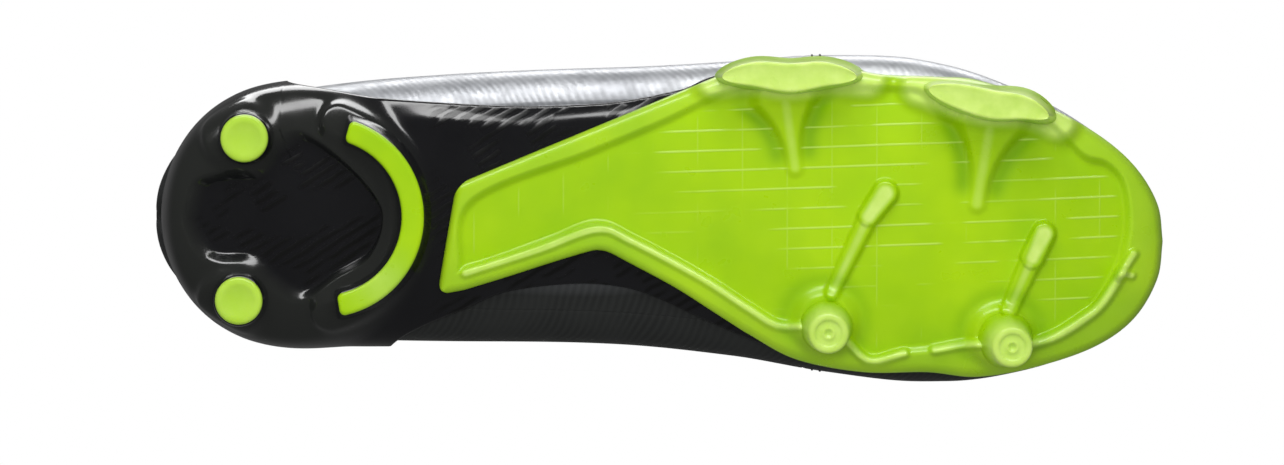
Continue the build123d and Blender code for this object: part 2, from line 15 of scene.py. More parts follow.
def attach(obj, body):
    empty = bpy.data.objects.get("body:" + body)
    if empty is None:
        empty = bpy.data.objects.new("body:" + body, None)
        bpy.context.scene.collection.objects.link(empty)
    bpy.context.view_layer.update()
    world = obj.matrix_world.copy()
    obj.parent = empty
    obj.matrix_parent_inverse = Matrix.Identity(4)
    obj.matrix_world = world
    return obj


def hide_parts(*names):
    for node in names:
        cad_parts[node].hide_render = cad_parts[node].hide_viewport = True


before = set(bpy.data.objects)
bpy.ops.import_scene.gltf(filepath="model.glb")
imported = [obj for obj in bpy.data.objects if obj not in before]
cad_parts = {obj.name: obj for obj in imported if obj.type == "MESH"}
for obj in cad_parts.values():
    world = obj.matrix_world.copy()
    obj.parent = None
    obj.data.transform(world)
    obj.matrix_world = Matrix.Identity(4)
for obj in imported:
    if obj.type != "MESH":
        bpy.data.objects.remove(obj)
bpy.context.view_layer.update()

MM = 0.001
ROOT_Z = 17.0  # height of the studs' roots, inside the plates

# ---------------------------------------------------------------- the foot form, as in the CAD model, in mm
HALF_LENGTH = 137.5
FULL_WIDTH = 0.9995  # share of a section's half-size beyond which turns would lose their accuracy
HIGH_ABOVE = 99.0
CENTRE_Y = [(-137.5, -0.3), (-110, -0.7), (-70, -2.3), (-20, -3.3), (20, -2.6), (65, 0.1), (100, 3.6),
            (125, 6.0), (137.5, 6.3)]
HALF_WIDTH = [(-137.5, 0.0), (-136, 7.4), (-131.5, 17.2), (-126, 24.2), (-120, 28.8), (-111, 32.6),
              (-95, 35.2), (-60, 37.2), (-10, 38.7), (20, 41.0), (45, 44.0), (66, 45.1), (80, 44.0),
              (100, 39.2), (120, 30.2), (130, 21.6), (135.5, 12.4), (137.5, 0.0)]
BOTTOM_Z = [(-137.5, 44.0), (-135, 27.0), (-128, 18.6), (-116, 16.2), (-95, 15.8), (-60, 18.4), (-35, 19.4),
            (0, 17.2), (35, 14.4), (65, 14.2), (95, 16.6), (116, 20.6), (130, 25.6), (137.5, 36.0)]
WIDEST_Z = [(-137.5, 44.0), (-120, 40.0), (-80, 38.0), (-20, 35.0), (40, 30.0), (90, 31.0), (125, 35.0),
            (137.5, 36.0)]
TOP_Z = [(-137.5, 44.0), (-136, 74.0), (-133, 94.0), (-126, 114.0), (-110, 126.0), (-85, 128.0),
         (-60, 121.5), (-30, 108.0), (0, 94.0), (30, 80.5), (60, 69.5), (90, 62.0), (113, 56.0),
         (128, 50.0), (137.5, 36.0)]
BOTTOM_POWER = [(-137.5, 2.4), (-100, 2.9), (-40, 2.5), (30, 2.9), (80, 3.0), (137.5, 2.3)]
TOP_POWER = [(-137.5, 2.1), (-90, 2.1), (-30, 1.75), (20, 1.7), (70, 1.95), (110, 2.2), (137.5, 2.1)]

# Plan outlines (x, y) of the two plates and what stands on them.
FORE_LATERAL = [(15.4, -39.6), (26.5, -43.2), (37.5, -44.2), (48.6, -43.2), (60, -40.4), (76, -39.6),
                (88, -38.6), (104, -32.9), (120.6, -24.1), (131.7, -14.8), (138.4, -4.0), (140, 6.5)]
FORE_MEDIAL = [(140, 6.5), (138.4, 17.0), (131.7, 28.0), (120.6, 35.7), (104, 41.2), (88, 43.8), (74, 42.4),
               (56, 42.4), (37.5, 38.8), (23.4, 31.2)]
FORE_TAIL = [(-61.9, 21.0), (-56.6, -9.7)]
HEEL_LATERAL = [(-112, -41.5), (-99.9, -36.9), (-83, -35.0), (-66.6, -33.6), (-44.5, -32.3), (-27.8, -32.3),
                (-11.2, -33.5), (5.4, -36.8), (14.0, -40.4), (26, -42.4), (37, -42.6)]
HEEL_MEDIAL = [(-84, 46.0), (-74, 36.0), (-66, 31.0), (-53, 25.4), (-42, 20.8), (-24, 18.6), (-11, 19.4),
               (-1, 22.4), (10, 27.6), (24.8, 34.2), (32, 36.9), (37, 38.2)]
HEEL_DISH = [(-127, -9.4), (-119, -12.4), (-110, -13.2), (-104.6, -20), (-98.5, -23), (-90, -18.4),
             (-81, -10.5), (-75.6, -1.5), (-79, 9), (-89, 15.4), (-98.5, 20.6), (-106.5, 16.4), (-113, 11),
             (-124, 9.6), (-129.5, 0)]
TRIM_Z = [(-150, 37.0), (-110, 36.0), (-72, 33.0), (0, 32.0), (60, 29.0), (105, 30.0), (150, 35.0)]
LINING_TOP = [(-150, 68), (-137, 68), (-127, 64), (-111, 52), (-94, 46), (-77, 46.5), (-61, 55), (-58, 70),
              (-55, 82), (-51, 89.5), (-44, 104.5), (-42, 119.5)]
TOPLINE = [(-150, 91), (-137, 91), (-127, 86), (-111, 73.5), (-94, 67), (-77, 67.5), (-62, 77), (-51, 91),
           (-44, 106), (-42, 120)]


def along(x):
    """Position from 0 at the heel's back to 1 at the toe, spaced so that round ends come out round."""
    return np.arccos(np.clip(-np.asarray(x, float) / HALF_LENGTH, -1, 1)) / math.pi


def profile(points):
    """The CAD model's smooth, never overshooting curve through (x, value) points, over arrays."""
    u = along([x for x, _ in points])
    v = np.array([value for _, value in points], float)
    h = np.diff(u)
    slope = np.diff(v) / h
    tangent = np.concatenate([[slope[0]], np.zeros(len(v) - 2), [slope[-1]]])
    for i in range(1, len(v) - 1):
        if slope[i - 1] * slope[i] > 0:
            w0, w1 = 2 * h[i] + h[i - 1], h[i] + 2 * h[i - 1]
            tangent[i] = (w0 + w1) / (w0 / slope[i - 1] + w1 / slope[i])

    def value_at(x):
        at = along(x)
        i = np.clip(np.searchsorted(u, at) - 1, 0, len(h) - 1)
        t = (at - u[i]) / h[i]
        return (v[i] * (1 + 2 * t) * (1 - t) ** 2 + h[i] * tangent[i] * t * (1 - t) ** 2
                + v[i + 1] * t * t * (3 - 2 * t) + h[i] * tangent[i + 1] * t * t * (t - 1))

    return value_at


centre_y, half_width, bottom_z, widest_z, top_z, bottom_power, top_power = (
    profile(table) for table in (CENTRE_Y, HALF_WIDTH, BOTTOM_Z, WIDEST_Z, TOP_Z, BOTTOM_POWER, TOP_POWER))


def taken_in(size, inset):
    """A half-size taken in by inset, which still closes smoothly where the half-size goes to nothing."""
    softness = np.maximum(5.0, 1.15 * inset)
    return size - inset * size / np.hypot(size, softness)


def section_size(x, inset):
    """Half-width, widest height, and the heights below and above it, of the form's section at x."""
    at = np.clip(x * HALF_LENGTH / (HALF_LENGTH - inset), -HALF_LENGTH, HALF_LENGTH)
    middle = widest_z(at)
    return (taken_in(half_width(at), inset), middle, taken_in(middle - bottom_z(at), inset),
            taken_in(top_z(at) - middle, inset))


def surface(x, turn, inset):
    """Points of the form; turn goes from the medial side (0) over the top to the lateral side (pi)."""
    x, turn, inset = np.broadcast_arrays(np.asarray(x, float), turn, inset)
    width, middle, below, above = section_size(x, inset)
    c, s = np.cos(turn), np.sin(turn)
    under = s < 0
    power = np.where(under, bottom_power(x), top_power(x))
    height = np.where(under, below, above)
    y = width * np.sign(c) * np.abs(c) ** (2 / power)
    z = height * np.sign(s) * np.abs(s) ** (2 / power)
    return np.stack([x, centre_y(x) + y, middle + z], axis=-1)


def under_z(x, y, inset):
    """Height of the form's underside at plan points; beyond the form it is high above everything."""
    width, middle, below, _ = section_size(x, inset)
    ratio = np.clip(np.abs(y - centre_y(x)) / np.maximum(width, 1e-6), 0, FULL_WIDTH)
    power = bottom_power(x)
    z = middle - below * (1 - ratio**power) ** (1 / power)
    return np.where(np.abs(x) < HALF_LENGTH - inset, z, HIGH_ABOVE)


def turn_at_height(x, side, z, inset):
    """Where each section reaches height z on one side, as a turn; side is -1 for lateral, 1 for medial."""
    _, middle, below, above = section_size(x, inset)
    under = z < middle
    power = np.where(under, bottom_power(x), top_power(x))
    ratio = np.clip(np.abs(z - middle) / np.where(under, below, above), 0, FULL_WIDTH)
    turn = np.sign(z - middle) * np.arcsin(ratio ** (power / 2))
    return turn if side > 0 else math.pi - turn


def turn_at_width(x, offset, inset, top=True):
    """Where each section's top or bottom is offset from its centre line, as a turn."""
    power = top_power(x) if top else bottom_power(x)
    ratio = np.clip(np.abs(offset) / section_size(x, inset)[0], 0, FULL_WIDTH)
    turn = np.arccos(np.sign(offset) * ratio ** (power / 2))
    return turn if top else -turn


def smooth_curve(points, count):
    """Evenly spaced points along a smooth curve through the given ones (centripetal Catmull-Rom)."""
    p = np.array(points, float)
    p = np.vstack([2 * p[0] - p[1], p, 2 * p[-1] - p[-2]])
    out = []
    for a, b, c, d in zip(p, p[1:], p[2:], p[3:]):
        t = np.linspace(0, 1, 24, endpoint=False)[:, None]
        out.append(0.5 * (2 * b + (c - a) * t + (2 * a - 5 * b + 4 * c - d) * t**2
                          + (3 * b - a - 3 * c + d) * t**3))
    out = np.vstack([*out, p[-2:-1]])
    return resample(out, count)


def resample(points, count):
    """Evenly spaced points along a polyline."""
    gone = np.concatenate([[0], np.cumsum(np.linalg.norm(np.diff(points, axis=0), axis=1))])
    want = np.linspace(0, gone[-1], count)
    return np.stack([np.interp(want, gone, points[:, k]) for k in range(points.shape[1])], axis=-1)


def directions(points):
    """Unit vectors along a row of points."""
    ahead = np.gradient(np.asarray(points, float), axis=0)
    return ahead / np.linalg.norm(ahead, axis=1, keepdims=True)


def distance_to(points, line, closed=False):
    """Plan distance from each point to a polyline."""
    line = np.asarray(line, float)
    ends = np.vstack([line, line[:1]]) if closed else line
    best = np.full(points.shape[:-1], 1e9)
    for a, b in zip(ends, ends[1:]):
        ab = b - a
        t = np.clip(((points - a) @ ab) / max(ab @ ab, 1e-9), 0, 1)
        best = np.minimum(best, np.linalg.norm(points - a - t[..., None] * ab, axis=-1))
    return best


def inside(points, loop):
    """Which plan points lie inside a closed loop."""
    x, y = points[..., 0], points[..., 1]
    hit = np.zeros(x.shape, bool)
    for (x0, y0), (x1, y1) in zip(loop, np.roll(loop, -1, axis=0)):
        crosses = (y0 > y) != (y1 > y)
        with np.errstate(divide="ignore", invalid="ignore"):
            hit ^= crosses & (x < (x1 - x0) * (y - y0) / (y1 - y0) + x0)
    return hit


def step(edge0, edge1, value):
    """0 before edge0, 1 after edge1, and smooth between; the edges may be given either way round."""
    t = np.clip((value - edge0) / (edge1 - edge0), 0, 1)
    return t * t * (3 - 2 * t)


# ---------------------------------------------------------------- meshes on the form
def on_form(x, turn, inset):
    """Like surface, but x is where the point sits with no inset, so ends stay round at any inset."""
    return surface(x * (HALF_LENGTH - inset) / HALF_LENGTH, turn, inset)


def even_turns(x, first, last, inset, fractions):
    """Turns that divide each section from first to last evenly by length, and the sections' lengths."""
    fine = np.linspace(0, 1, 1200)
    turns = first[:, None] + (last - first)[:, None] * fine
    points = on_form(x[:, None], turns, inset)
    gone = np.cumsum(np.linalg.norm(np.diff(points, axis=1), axis=-1), axis=1)
    gone = np.concatenate([np.zeros((len(x), 1)), gone], axis=1)
    length = gone[:, -1]
    want = np.broadcast_to(fractions, (len(x), len(np.atleast_1d(fractions))))
    out = np.stack([np.interp(f * total, g, t) for f, total, g, t in zip(want, length, gone, turns)])
    return out, length


def lip(distance, edge):
    """Share of a sheet's full thickness at a distance from its rounded edge."""
    return np.sqrt(1 - (1 - np.clip(distance / edge, 0, 1)) ** 2)


def clustered(length, edge, count):
    """Fractions from 0 to 1, closer together within the rounded edge at both ends."""
    near = edge / length * np.array([0, 0.03, 0.12, 0.3, 0.6, 1.0])
    return np.concatenate([near, np.linspace(near[-1], 1 - near[-1], count)[1:-1], 1 - near[::-1]])


def round_ended(low, high, fractions):
    """Stations between two x, spaced as fractions of the angle that keeps the form's ends round."""
    a, b = along(low), along(high)
    return -HALF_LENGTH * np.cos((a + (b - a) * fractions) * math.pi)


def grid_faces(rows, cols, start=0, flip=False, wrap=False):
    """Faces of a grid of points; wrap also joins its last column to its first."""
    faces = []
    for i in range(rows - 1):
        for j in range(cols if wrap else cols - 1):
            k = (j + 1) % cols
            quad = (start + i * cols + j, start + i * cols + k, start + (i + 1) * cols + k,
                    start + (i + 1) * cols + j)
            faces.append(quad[::-1] if flip else quad)
    return faces


def skin_over(top, under):
    """A closed mesh from two grids of points that share their outline: (points, faces)."""
    rows, cols = top.shape[:2]
    size = rows * cols
    faces = grid_faces(rows, cols) + grid_faces(rows, cols, size, flip=True)
    rim = ([(0, j) for j in range(cols)] + [(i, cols - 1) for i in range(1, rows)]
           + [(rows - 1, j) for j in range(cols - 2, -1, -1)] + [(i, 0) for i in range(rows - 2, 0, -1)])
    ids = [i * cols + j for i, j in rim]
    for a, b in zip(ids, ids[1:] + ids[:1]):
        faces.append((b, a, a + size, b + size))
    return np.concatenate([top.reshape(-1, 3), under.reshape(-1, 3)]), faces


def stacked(loops):
    """A shape through loops of equal length, the last of which has shrunk to a point or a line."""
    return np.concatenate(loops), grid_faces(len(loops), len(loops[0]), wrap=True)


def lathe(profile_rz, base, tip, steps=64):
    """A turned shape: (radius, height) pairs on an axis from the tip at z 0 to the base at ROOT_Z."""
    base, tip = np.array(base, float), np.array(tip, float)
    turns = np.linspace(0, 2 * math.pi, steps, endpoint=False)
    rings = []
    for r, z in profile_rz:
        at = tip + (base - tip) * z / ROOT_Z
        rings.append(np.stack([at[0] + r * np.cos(turns), at[1] + r * np.sin(turns), np.full(steps, z)], -1))
    return stacked(rings)


def joined(parts):
    """Several shapes as one."""
    points, faces, start = [], [], 0
    for p, f in parts:
        points.append(np.asarray(p, float))
        faces += [tuple(start + k for k in face) for face in f]
        start += len(p)
    return np.concatenate(points), faces


def make(name, shape, slot, body="root", nodes=(), attributes=None, outward=True):
    """Makes a piece from (points, faces) in mm, with its material, body and the CAD nodes it stands for.

    attributes gives values for the material on the first points of the shape; the rest stay at 0.
    """
    points, faces = shape
    mesh = bpy.data.meshes.new(name)
    mesh.from_pydata((np.asarray(points) * MM).tolist(), [], faces)
    for key, values in (attributes or {}).items():
        layer = mesh.attributes.new(key, "FLOAT", "POINT")
        full = np.zeros(len(mesh.vertices), np.float32)
        full[: len(values)] = values
        layer.data.foreach_set("value", full)
    mesh.materials.append(materials[slot])
    mesh.shade_smooth()
    piece = bpy.data.objects.new(name, mesh)
    bpy.context.scene.collection.objects.link(piece)
    if outward:
        recalculate(mesh)
    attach(piece, body)
    if nodes:
        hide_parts(*nodes)
    return piece


def recalculate(mesh):
    """Merges doubled points and turns the faces outwards."""
    work = bmesh.new()
    work.from_mesh(mesh)
    bmesh.ops.remove_doubles(work, verts=work.verts, dist=2e-6)
    bmesh.ops.recalc_face_normals(work, faces=work.faces)
    work.to_mesh(mesh)
    work.free()


def laid_out(x, span, inset, fractions):
    """A grid over stations x and the turns span(x).

    Returns its x, its turns, and each point's distances from the first turn and to the nearer of the two.
    """
    turns, length = even_turns(x, *span(x), inset, fractions)
    length = length[:, None]
    aside = np.minimum(fractions, 1 - fractions) * length
    return np.broadcast_to(x[:, None], turns.shape), turns, fractions * length, aside


def wall(x_low, x_high, span, outer, inner, counts, edge=1.0, closed_low=False, closed_high=False):
    """A sheet between two insets over x and the turns span(x), with rounded edges.

    It keeps its full thickness at an end in x where the form itself closes it.
    """
    x = round_ended(x_low, x_high, clustered(abs(x_high - x_low), edge, counts[0]))
    x, turns, _, to_edge = laid_out(x, span, outer, clustered(70.0, edge, counts[1]))
    if not closed_low:
        to_edge = np.minimum(to_edge, x - x_low)
    if not closed_high:
        to_edge = np.minimum(to_edge, x_high - x)
    share = lip(to_edge, edge)
    middle, half = (inner + outer) / 2, (inner - outer) / 2
    return skin_over(on_form(x, turns, middle - half * share), on_form(x, turns, middle + half * share))


# ---------------------------------------------------------------- materials
class Nodes:
    """A material's node tree, with short ways to add nodes to it."""

    def __init__(self, name, colour, roughness, **shader):
        self.material = bpy.data.materials.new(name)
        self.material.use_nodes = True
        self.tree = self.material.node_tree
        self.shader = self.tree.nodes["Principled BSDF"]
        self.shader.inputs["Base Color"].default_value = (*colour, 1)
        self.shader.inputs["Roughness"].default_value = roughness
        for key, value in shader.items():
            self.shader.inputs[key.replace("_", " ").title().replace("Ior", "IOR")].default_value = value
        self.place = self.tree.nodes.new("ShaderNodeTexCoord").outputs["Object"]

    def add(self, kind, inputs=None, **settings):
        node = self.tree.nodes.new(kind)
        for key, value in settings.items():
            setattr(node, key, value)
        for key, value in (inputs or {}).items():
            if isinstance(value, bpy.types.NodeSocket):
                self.tree.links.new(value, node.inputs[key])
            else:
                node.inputs[key].default_value = value
        return node

    def math(self, operation, a, b=0.0, c=0.0):
        return self.add("ShaderNodeMath", {0: a, 1: b, 2: c}, operation=operation).outputs[0]

    def attribute(self, name):
        return self.add("ShaderNodeAttribute", attribute_name=name).outputs["Fac"]

    def noise(self, scale, detail=3.0, roughness=0.5):
        return self.add("ShaderNodeTexNoise", {"Vector": self.place, "Scale": scale, "Detail": detail,
                                               "Roughness": roughness}).outputs["Fac"]

    def axes(self, turn=(0, 0, 0)):
        """The position in the part's own frame, in metres, turned by degrees: x, y, z."""
        turned = [math.radians(angle) for angle in turn]
        mapped = self.add("ShaderNodeMapping", {"Vector": self.place, "Rotation": turned})
        return self.add("ShaderNodeSeparateXYZ", {0: mapped.outputs[0]}).outputs

    def lines(self, value, pitch, width, soft=0.5):
        """1 on lines that repeat every pitch metres, width wide; 0 between."""
        phase = self.math("PINGPONG", value, pitch / 2)
        return self.add("ShaderNodeMapRange", {"Value": phase, "From Min": width * (0.5 + soft),
                                               "From Max": width * 0.5 * (1 - soft)},
                        interpolation_type="SMOOTHSTEP").outputs[0]

    def fade(self, value, low, high, to_low=0.0, to_high=1.0):
        """value carried from low..high to to_low..to_high, and held there beyond."""
        return self.add("ShaderNodeMapRange", {"Value": value, "From Min": low, "From Max": high,
                                               "To Min": to_low, "To Max": to_high}).outputs[0]

    def mixed(self, share, a, b):
        """The colour between a and b; each may be a colour or a socket."""
        node = self.add("ShaderNodeMix", {"Factor": share}, data_type="RGBA")
        for socket, value in ((node.inputs[6], a), (node.inputs[7], b)):
            if isinstance(value, bpy.types.NodeSocket):
                self.tree.links.new(value, socket)
            else:
                socket.default_value = (*value, 1)
        return node.outputs[2]

    def put(self, key, value):
        self.tree.links.new(value, self.shader.inputs[key])

    def bump(self, *layers):
        """Bumps from (height, strength, distance in metres), one on another."""
        normal = None
        for height, strength, distance in layers:
            inputs = {"Height": height, "Strength": strength, "Distance": distance}
            if normal is not None:
                inputs["Normal"] = normal
            normal = self.add("ShaderNodeBump", inputs).outputs[0]
        self.put("Normal", normal)


VOLT = (0.41, 0.67, 0.0)
VOLT_DEEP = (0.32, 0.58, 0.0)
# Colour of the painted highlights laid on crests, beads and stud tips.
VOLT_PAINTED_HIGHLIGHT = (0.66, 0.86, 0.2)


def lime_plastic(name, lined):
    """Glossy translucent lime plastic, with painted highlights (a lighter colour) on crests, beads and stud
    tips, painted shade (dark green) in hollows, and fine raised lines if lined.
    """
    n = Nodes(name, VOLT, 0.32, subsurface_weight=0.12, subsurface_scale=0.003, coat_weight=0.12,
              coat_roughness=0.16)
    n.shader.inputs["Subsurface Radius"].default_value = (0.9, 1.0, 0.1)
    base = n.mixed(n.fade(n.noise(38, 3), 0.35, 0.68), VOLT_DEEP, VOLT)
    # Painted highlight: a lighter colour on crests, beads and stud tips, broken up by noise. Painted shade:
    # dark green in the hollows beside the webs and round the stud bases.
    painted_highlight = n.math("MULTIPLY", n.attribute("painted_highlight"), n.fade(n.noise(210, 4), 0.3, 0.7, 0.65, 1.0))
    base = n.mixed(painted_highlight, base, VOLT_PAINTED_HIGHLIGHT)
    base = n.mixed(n.math("MULTIPLY", n.attribute("hollow_and_painted_shade"), 0.75), base, (0.19, 0.42, 0.0))
    layers = [(n.noise(900, 2), 0.12, 0.0002)]
    if lined:
        x, y, _ = n.axes()
        patches = n.fade(n.noise(26, 1), 0.46, 0.58)
        broken = n.math("MULTIPLY", n.fade(n.noise(70, 2), 0.40, 0.50), patches)
        sloping = n.math("MULTIPLY_ADD", x, 0.035, n.math("ADD", y, 0.0298))
        along_lines = n.math("MULTIPLY", n.lines(sloping, 0.00557, 0.0004), broken)
        across = n.math("MULTIPLY", n.lines(n.math("ADD", x, 0.0021), 0.0124, 0.0003),
                        n.fade(n.noise(55, 1), 0.5, 0.58, 0.0, 0.4))
        grid = n.math("MULTIPLY", n.math("MAXIMUM", along_lines, across), n.attribute("tray"))
        base = n.mixed(n.math("MULTIPLY", grid, 0.5), base, (0.62, 0.84, 0.16))
        layers.insert(0, (grid, 0.35, 0.0005))
    n.put("Base Color", base)
    n.put("Roughness", n.fade(n.noise(120, 3), 0.3, 0.7, 0.26, 0.42))
    n.bump(*layers)
    return n.material


def black_gloss():
    """Polished black plastic, with slanted strokes moulded into the dish and the waist."""
    n = Nodes("black_gloss_plastic", (0.006, 0.006, 0.007), 0.2, coat_weight=0.5, coat_roughness=0.1)
    ragged = n.math("MULTIPLY_ADD", n.noise(160, 2), 0.0014, n.axes((0, 0, -58))[0])
    strokes = n.lines(ragged, 0.0026, 0.0009, 0.6)
    rows = n.fade(n.noise(95, 1), 0.46, 0.54)
    strokes = n.math("MULTIPLY", n.math("MULTIPLY", strokes, rows), n.attribute("hatch"))
    base = n.mixed(n.noise(60, 3), (0.003, 0.003, 0.004), (0.007, 0.007, 0.008))
    base = n.mixed(n.attribute("raised"), base, (0.016, 0.017, 0.015))
    n.put("Base Color", n.mixed(strokes, base, (0.0015, 0.0015, 0.0015)))
    worn = n.fade(n.noise(90, 4), 0.3, 0.7, 0.12, 0.24)
    n.put("Roughness", n.math("ADD", worn, n.math("MULTIPLY", strokes, 0.3)))
    n.bump((strokes, 0.22, 0.0006), (n.noise(500, 2), 0.04, 0.0002))
    return n.material


def silver_skin():
    """Silver coated textile with fine slanted ribs and a grain, its medial side painted near-black grey as
    shade.
    """
    n = Nodes("silver_skin", (0.42, 0.43, 0.45), 0.38, metallic=0.55, coat_weight=0.15, coat_roughness=0.3)
    wavy = n.math("MULTIPLY_ADD", n.noise(26, 2), 0.006, n.axes((0, 38, 0))[0])
    ribs = n.math("MULTIPLY", n.lines(wavy, 0.0016, 0.0006, 0.9), n.fade(n.noise(60, 2), 0.35, 0.6, 0.3, 1.0))
    silver = n.mixed(n.fade(n.noise(24, 3), 0.35, 0.7), (0.36, 0.37, 0.39), (0.50, 0.51, 0.53))
    silver = n.mixed(n.math("MULTIPLY", ribs, 0.32), silver, (0.20, 0.205, 0.22))
    # Painted shade: the medial side is coloured near-black grey where it falls in shade, fading in across y.
    painted_shade_graphite = n.mixed(n.math("MULTIPLY", ribs, 0.4), (0.050, 0.052, 0.049), (0.018, 0.018, 0.018))
    across = n.math("MULTIPLY_ADD", n.noise(18, 2), 0.006, n.axes()[1])
    n.put("Base Color", n.mixed(n.fade(across, 0.006, 0.024), silver, painted_shade_graphite))
    n.put("Roughness", n.fade(n.noise(300, 3), 0.3, 0.7, 0.32, 0.50))
    n.bump((ribs, 0.16, 0.0003), (n.noise(1400, 3), 0.15, 0.0002))
    return n.material


def matte_black():
    """Moulded black plastic with a fine grain and rubbed patches."""
    n = Nodes("matte_black_plastic", (0.014, 0.014, 0.015), 0.42, coat_weight=0.2, coat_roughness=0.25)
    rubbed = n.fade(n.noise(40, 3), 0.3, 0.7)
    n.put("Base Color", n.mixed(rubbed, (0.010, 0.010, 0.011), (0.024, 0.025, 0.024)))
    n.put("Roughness", n.fade(n.noise(150, 3), 0.3, 0.7, 0.34, 0.52))
    n.bump((n.noise(1100, 2), 0.25, 0.0003))
    return n.material


def woven(name, dark, light, pitch=0.0011, sheen=0.3):
    """A plain weave: over and under threads in two directions, with fuzz and faded patches."""
    n = Nodes(name, light, 0.85, sheen_weight=sheen, sheen_roughness=0.5)
    x, y, z = n.axes((35, 25, 45))
    warp = n.lines(n.math("ADD", x, n.math("MULTIPLY", n.noise(200, 1), 0.0004)), pitch, pitch * 0.5, 0.9)
    weft = n.lines(n.math("ADD", y, z), pitch, pitch * 0.5, 0.9)
    threads = n.math("MAXIMUM", n.math("MULTIPLY", warp, 0.9), weft)
    faded = n.fade(n.noise(30, 3), 0.4, 0.8, 0.0, 0.3)
    n.put("Base Color", n.mixed(faded, n.mixed(threads, dark, light), dark))
    n.bump((threads, 0.6, 0.0005), (n.noise(2500, 2), 0.3, 0.0002))
    return n.material


def open_foam(name, dark, light):
    """Foam with open cells."""
    n = Nodes(name, light, 0.9)
    cells = n.add("ShaderNodeTexVoronoi", {"Vector": n.place, "Scale": 900.0}).outputs["Distance"]
    n.put("Base Color", n.mixed(n.fade(cells, 0.1, 0.6), dark, light))
    n.bump((cells, 0.6, 0.0004), (n.noise(300, 3), 0.2, 0.0004))
    return n.material


def fibre_board(name, dark, light):
    """Pressed board with strands in it."""
    n = Nodes(name, light, 0.8)
    strands = n.add("ShaderNodeTexNoise", {"Vector": n.place, "Scale": 260.0, "Detail": 5.0,
                                           "Distortion": 1.6}).outputs["Fac"]
    n.put("Base Color", n.mixed(n.fade(strands, 0.3, 0.7), dark, light))
    n.bump((strands, 0.3, 0.0003))
    return n.material


materials = {
    "lime_plate": lime_plastic("lime_plate_plastic", True),
    "lime_tip": lime_plastic("lime_tip_plastic", False),
    "black_plate": black_gloss(),
    "silver_skin": silver_skin(),
    "black_cap": matte_black(),
    "black_cloth": woven("black_cloth", (0.006, 0.006, 0.007), (0.030, 0.030, 0.034)),
    "grey_stiffener": fibre_board("grey_stiffener", (0.20, 0.20, 0.21), (0.34, 0.34, 0.34)),
    "insole_foam": open_foam("insole_foam", (0.04, 0.04, 0.045), (0.10, 0.10, 0.11)),
    "insole_cloth": woven("insole_cloth", (0.010, 0.010, 0.012), (0.045, 0.046, 0.052), 0.0014),
    "lace": woven("lace_braid", (0.008, 0.008, 0.009), (0.045, 0.045, 0.048), 0.0010, 0.5),
    "lime_webbing": woven("lime_webbing", (0.22, 0.42, 0.0), (0.55, 0.82, 0.03), 0.0010),
}


# ---------------------------------------------------------------- sole unit: the lime forefoot plate
lateral_line = smooth_curve(FORE_LATERAL, 300)
medial_line = smooth_curve(FORE_MEDIAL[::-1], 300)[::-1]
notch_line = smooth_curve([(-54.4, 19.6), (-42, 15.8), (-30.6, 12.1), (-20, 8.9), (-16.9, 8.5), (-14, 9.2),
                           (-9, 11.8), (4, 18.8), (15, 25.8)], 80)
fore_outline = np.vstack([FORE_TAIL[1], lateral_line, medial_line[1:], notch_line[::-1], FORE_TAIL[0]])
lateral_edge = np.vstack([FORE_TAIL[1], lateral_line])
medial_edge = np.vstack([FORE_TAIL[0], notch_line, medial_line[::-1]])
TOE_X = 139.9

TRAY = [(-56.4, 14.8), (-53.0, -5.4), (-20, -19.2), (0, -27.6), (10.9, -32.9), (19.8, -37.0), (26, -37.6),
        (31.4, -35.6), (40.3, -35.2), (46.5, -37.2), (53.7, -37.6), (63, -37.2), (72.4, -36.2),
        (78.6, -29.3), (84.8, -28.0), (92.9, -26.0), (98.2, -27.4), (104.4, -29.2), (110.7, -25.4),
        (117.8, -18.2), (124.2, -16.0), (129.0, -10.5), (130.6, 0), (129.2, 9.5), (126.6, 15.8),
        (121.6, 24.0), (117.0, 27.2), (108.9, 32.4), (102.7, 34.6), (94, 36.2), (88.4, 34.5), (77.3, 36.2),
        (66.2, 37.2), (58.1, 38.9), (51.9, 34.6), (45, 31.5), (38.5, 29.4), (32.3, 28.8), (24.3, 24.2),
        (10.9, 15.6), (-7, 6.0), (-17.5, 1.6), (-30, 6.0), (-46, 11.8)]
FLOOR_T, RIM_T = 3.0, 5.2  # thickness over the form in the tray and at the rim
MEDIAL_STUDS = [((45.6, 28.2), (46.4, 31.0)), ((94.4, 32.2), (97.2, 34.8))]
LATERAL_STUDS = [((15, -39.4), (26, -40.2), (36, -39.0), (46, -40.2), (57, -39.6)),
                 ((72, -37.2), (81, -34.2), (91.5, -31.6), (101, -31.4), (110, -27.6))]
LATERAL_TIPS = [((17, -39.9), (26, -40.6), (36, -39.6), (45, -40.6), (54, -39.9)),
                ((74, -36.6), (82, -34.6), (91.5, -32.2), (100, -31.4), (107, -28.9))]
tray_loop = smooth_curve([*TRAY, TRAY[0]], 400)
SHANKS = [  # ribs behind the medial studs: start, neck, half-widths there, end, half-width there
    ((47.5, 20), (57.5, -1.0), 1.2, 1.9, (62.2, -7.6), 2.9),
    ((96.6, 25), (103.0, 10.5), 1.6, 2.3, (106.2, 3.8), 2.6),
]
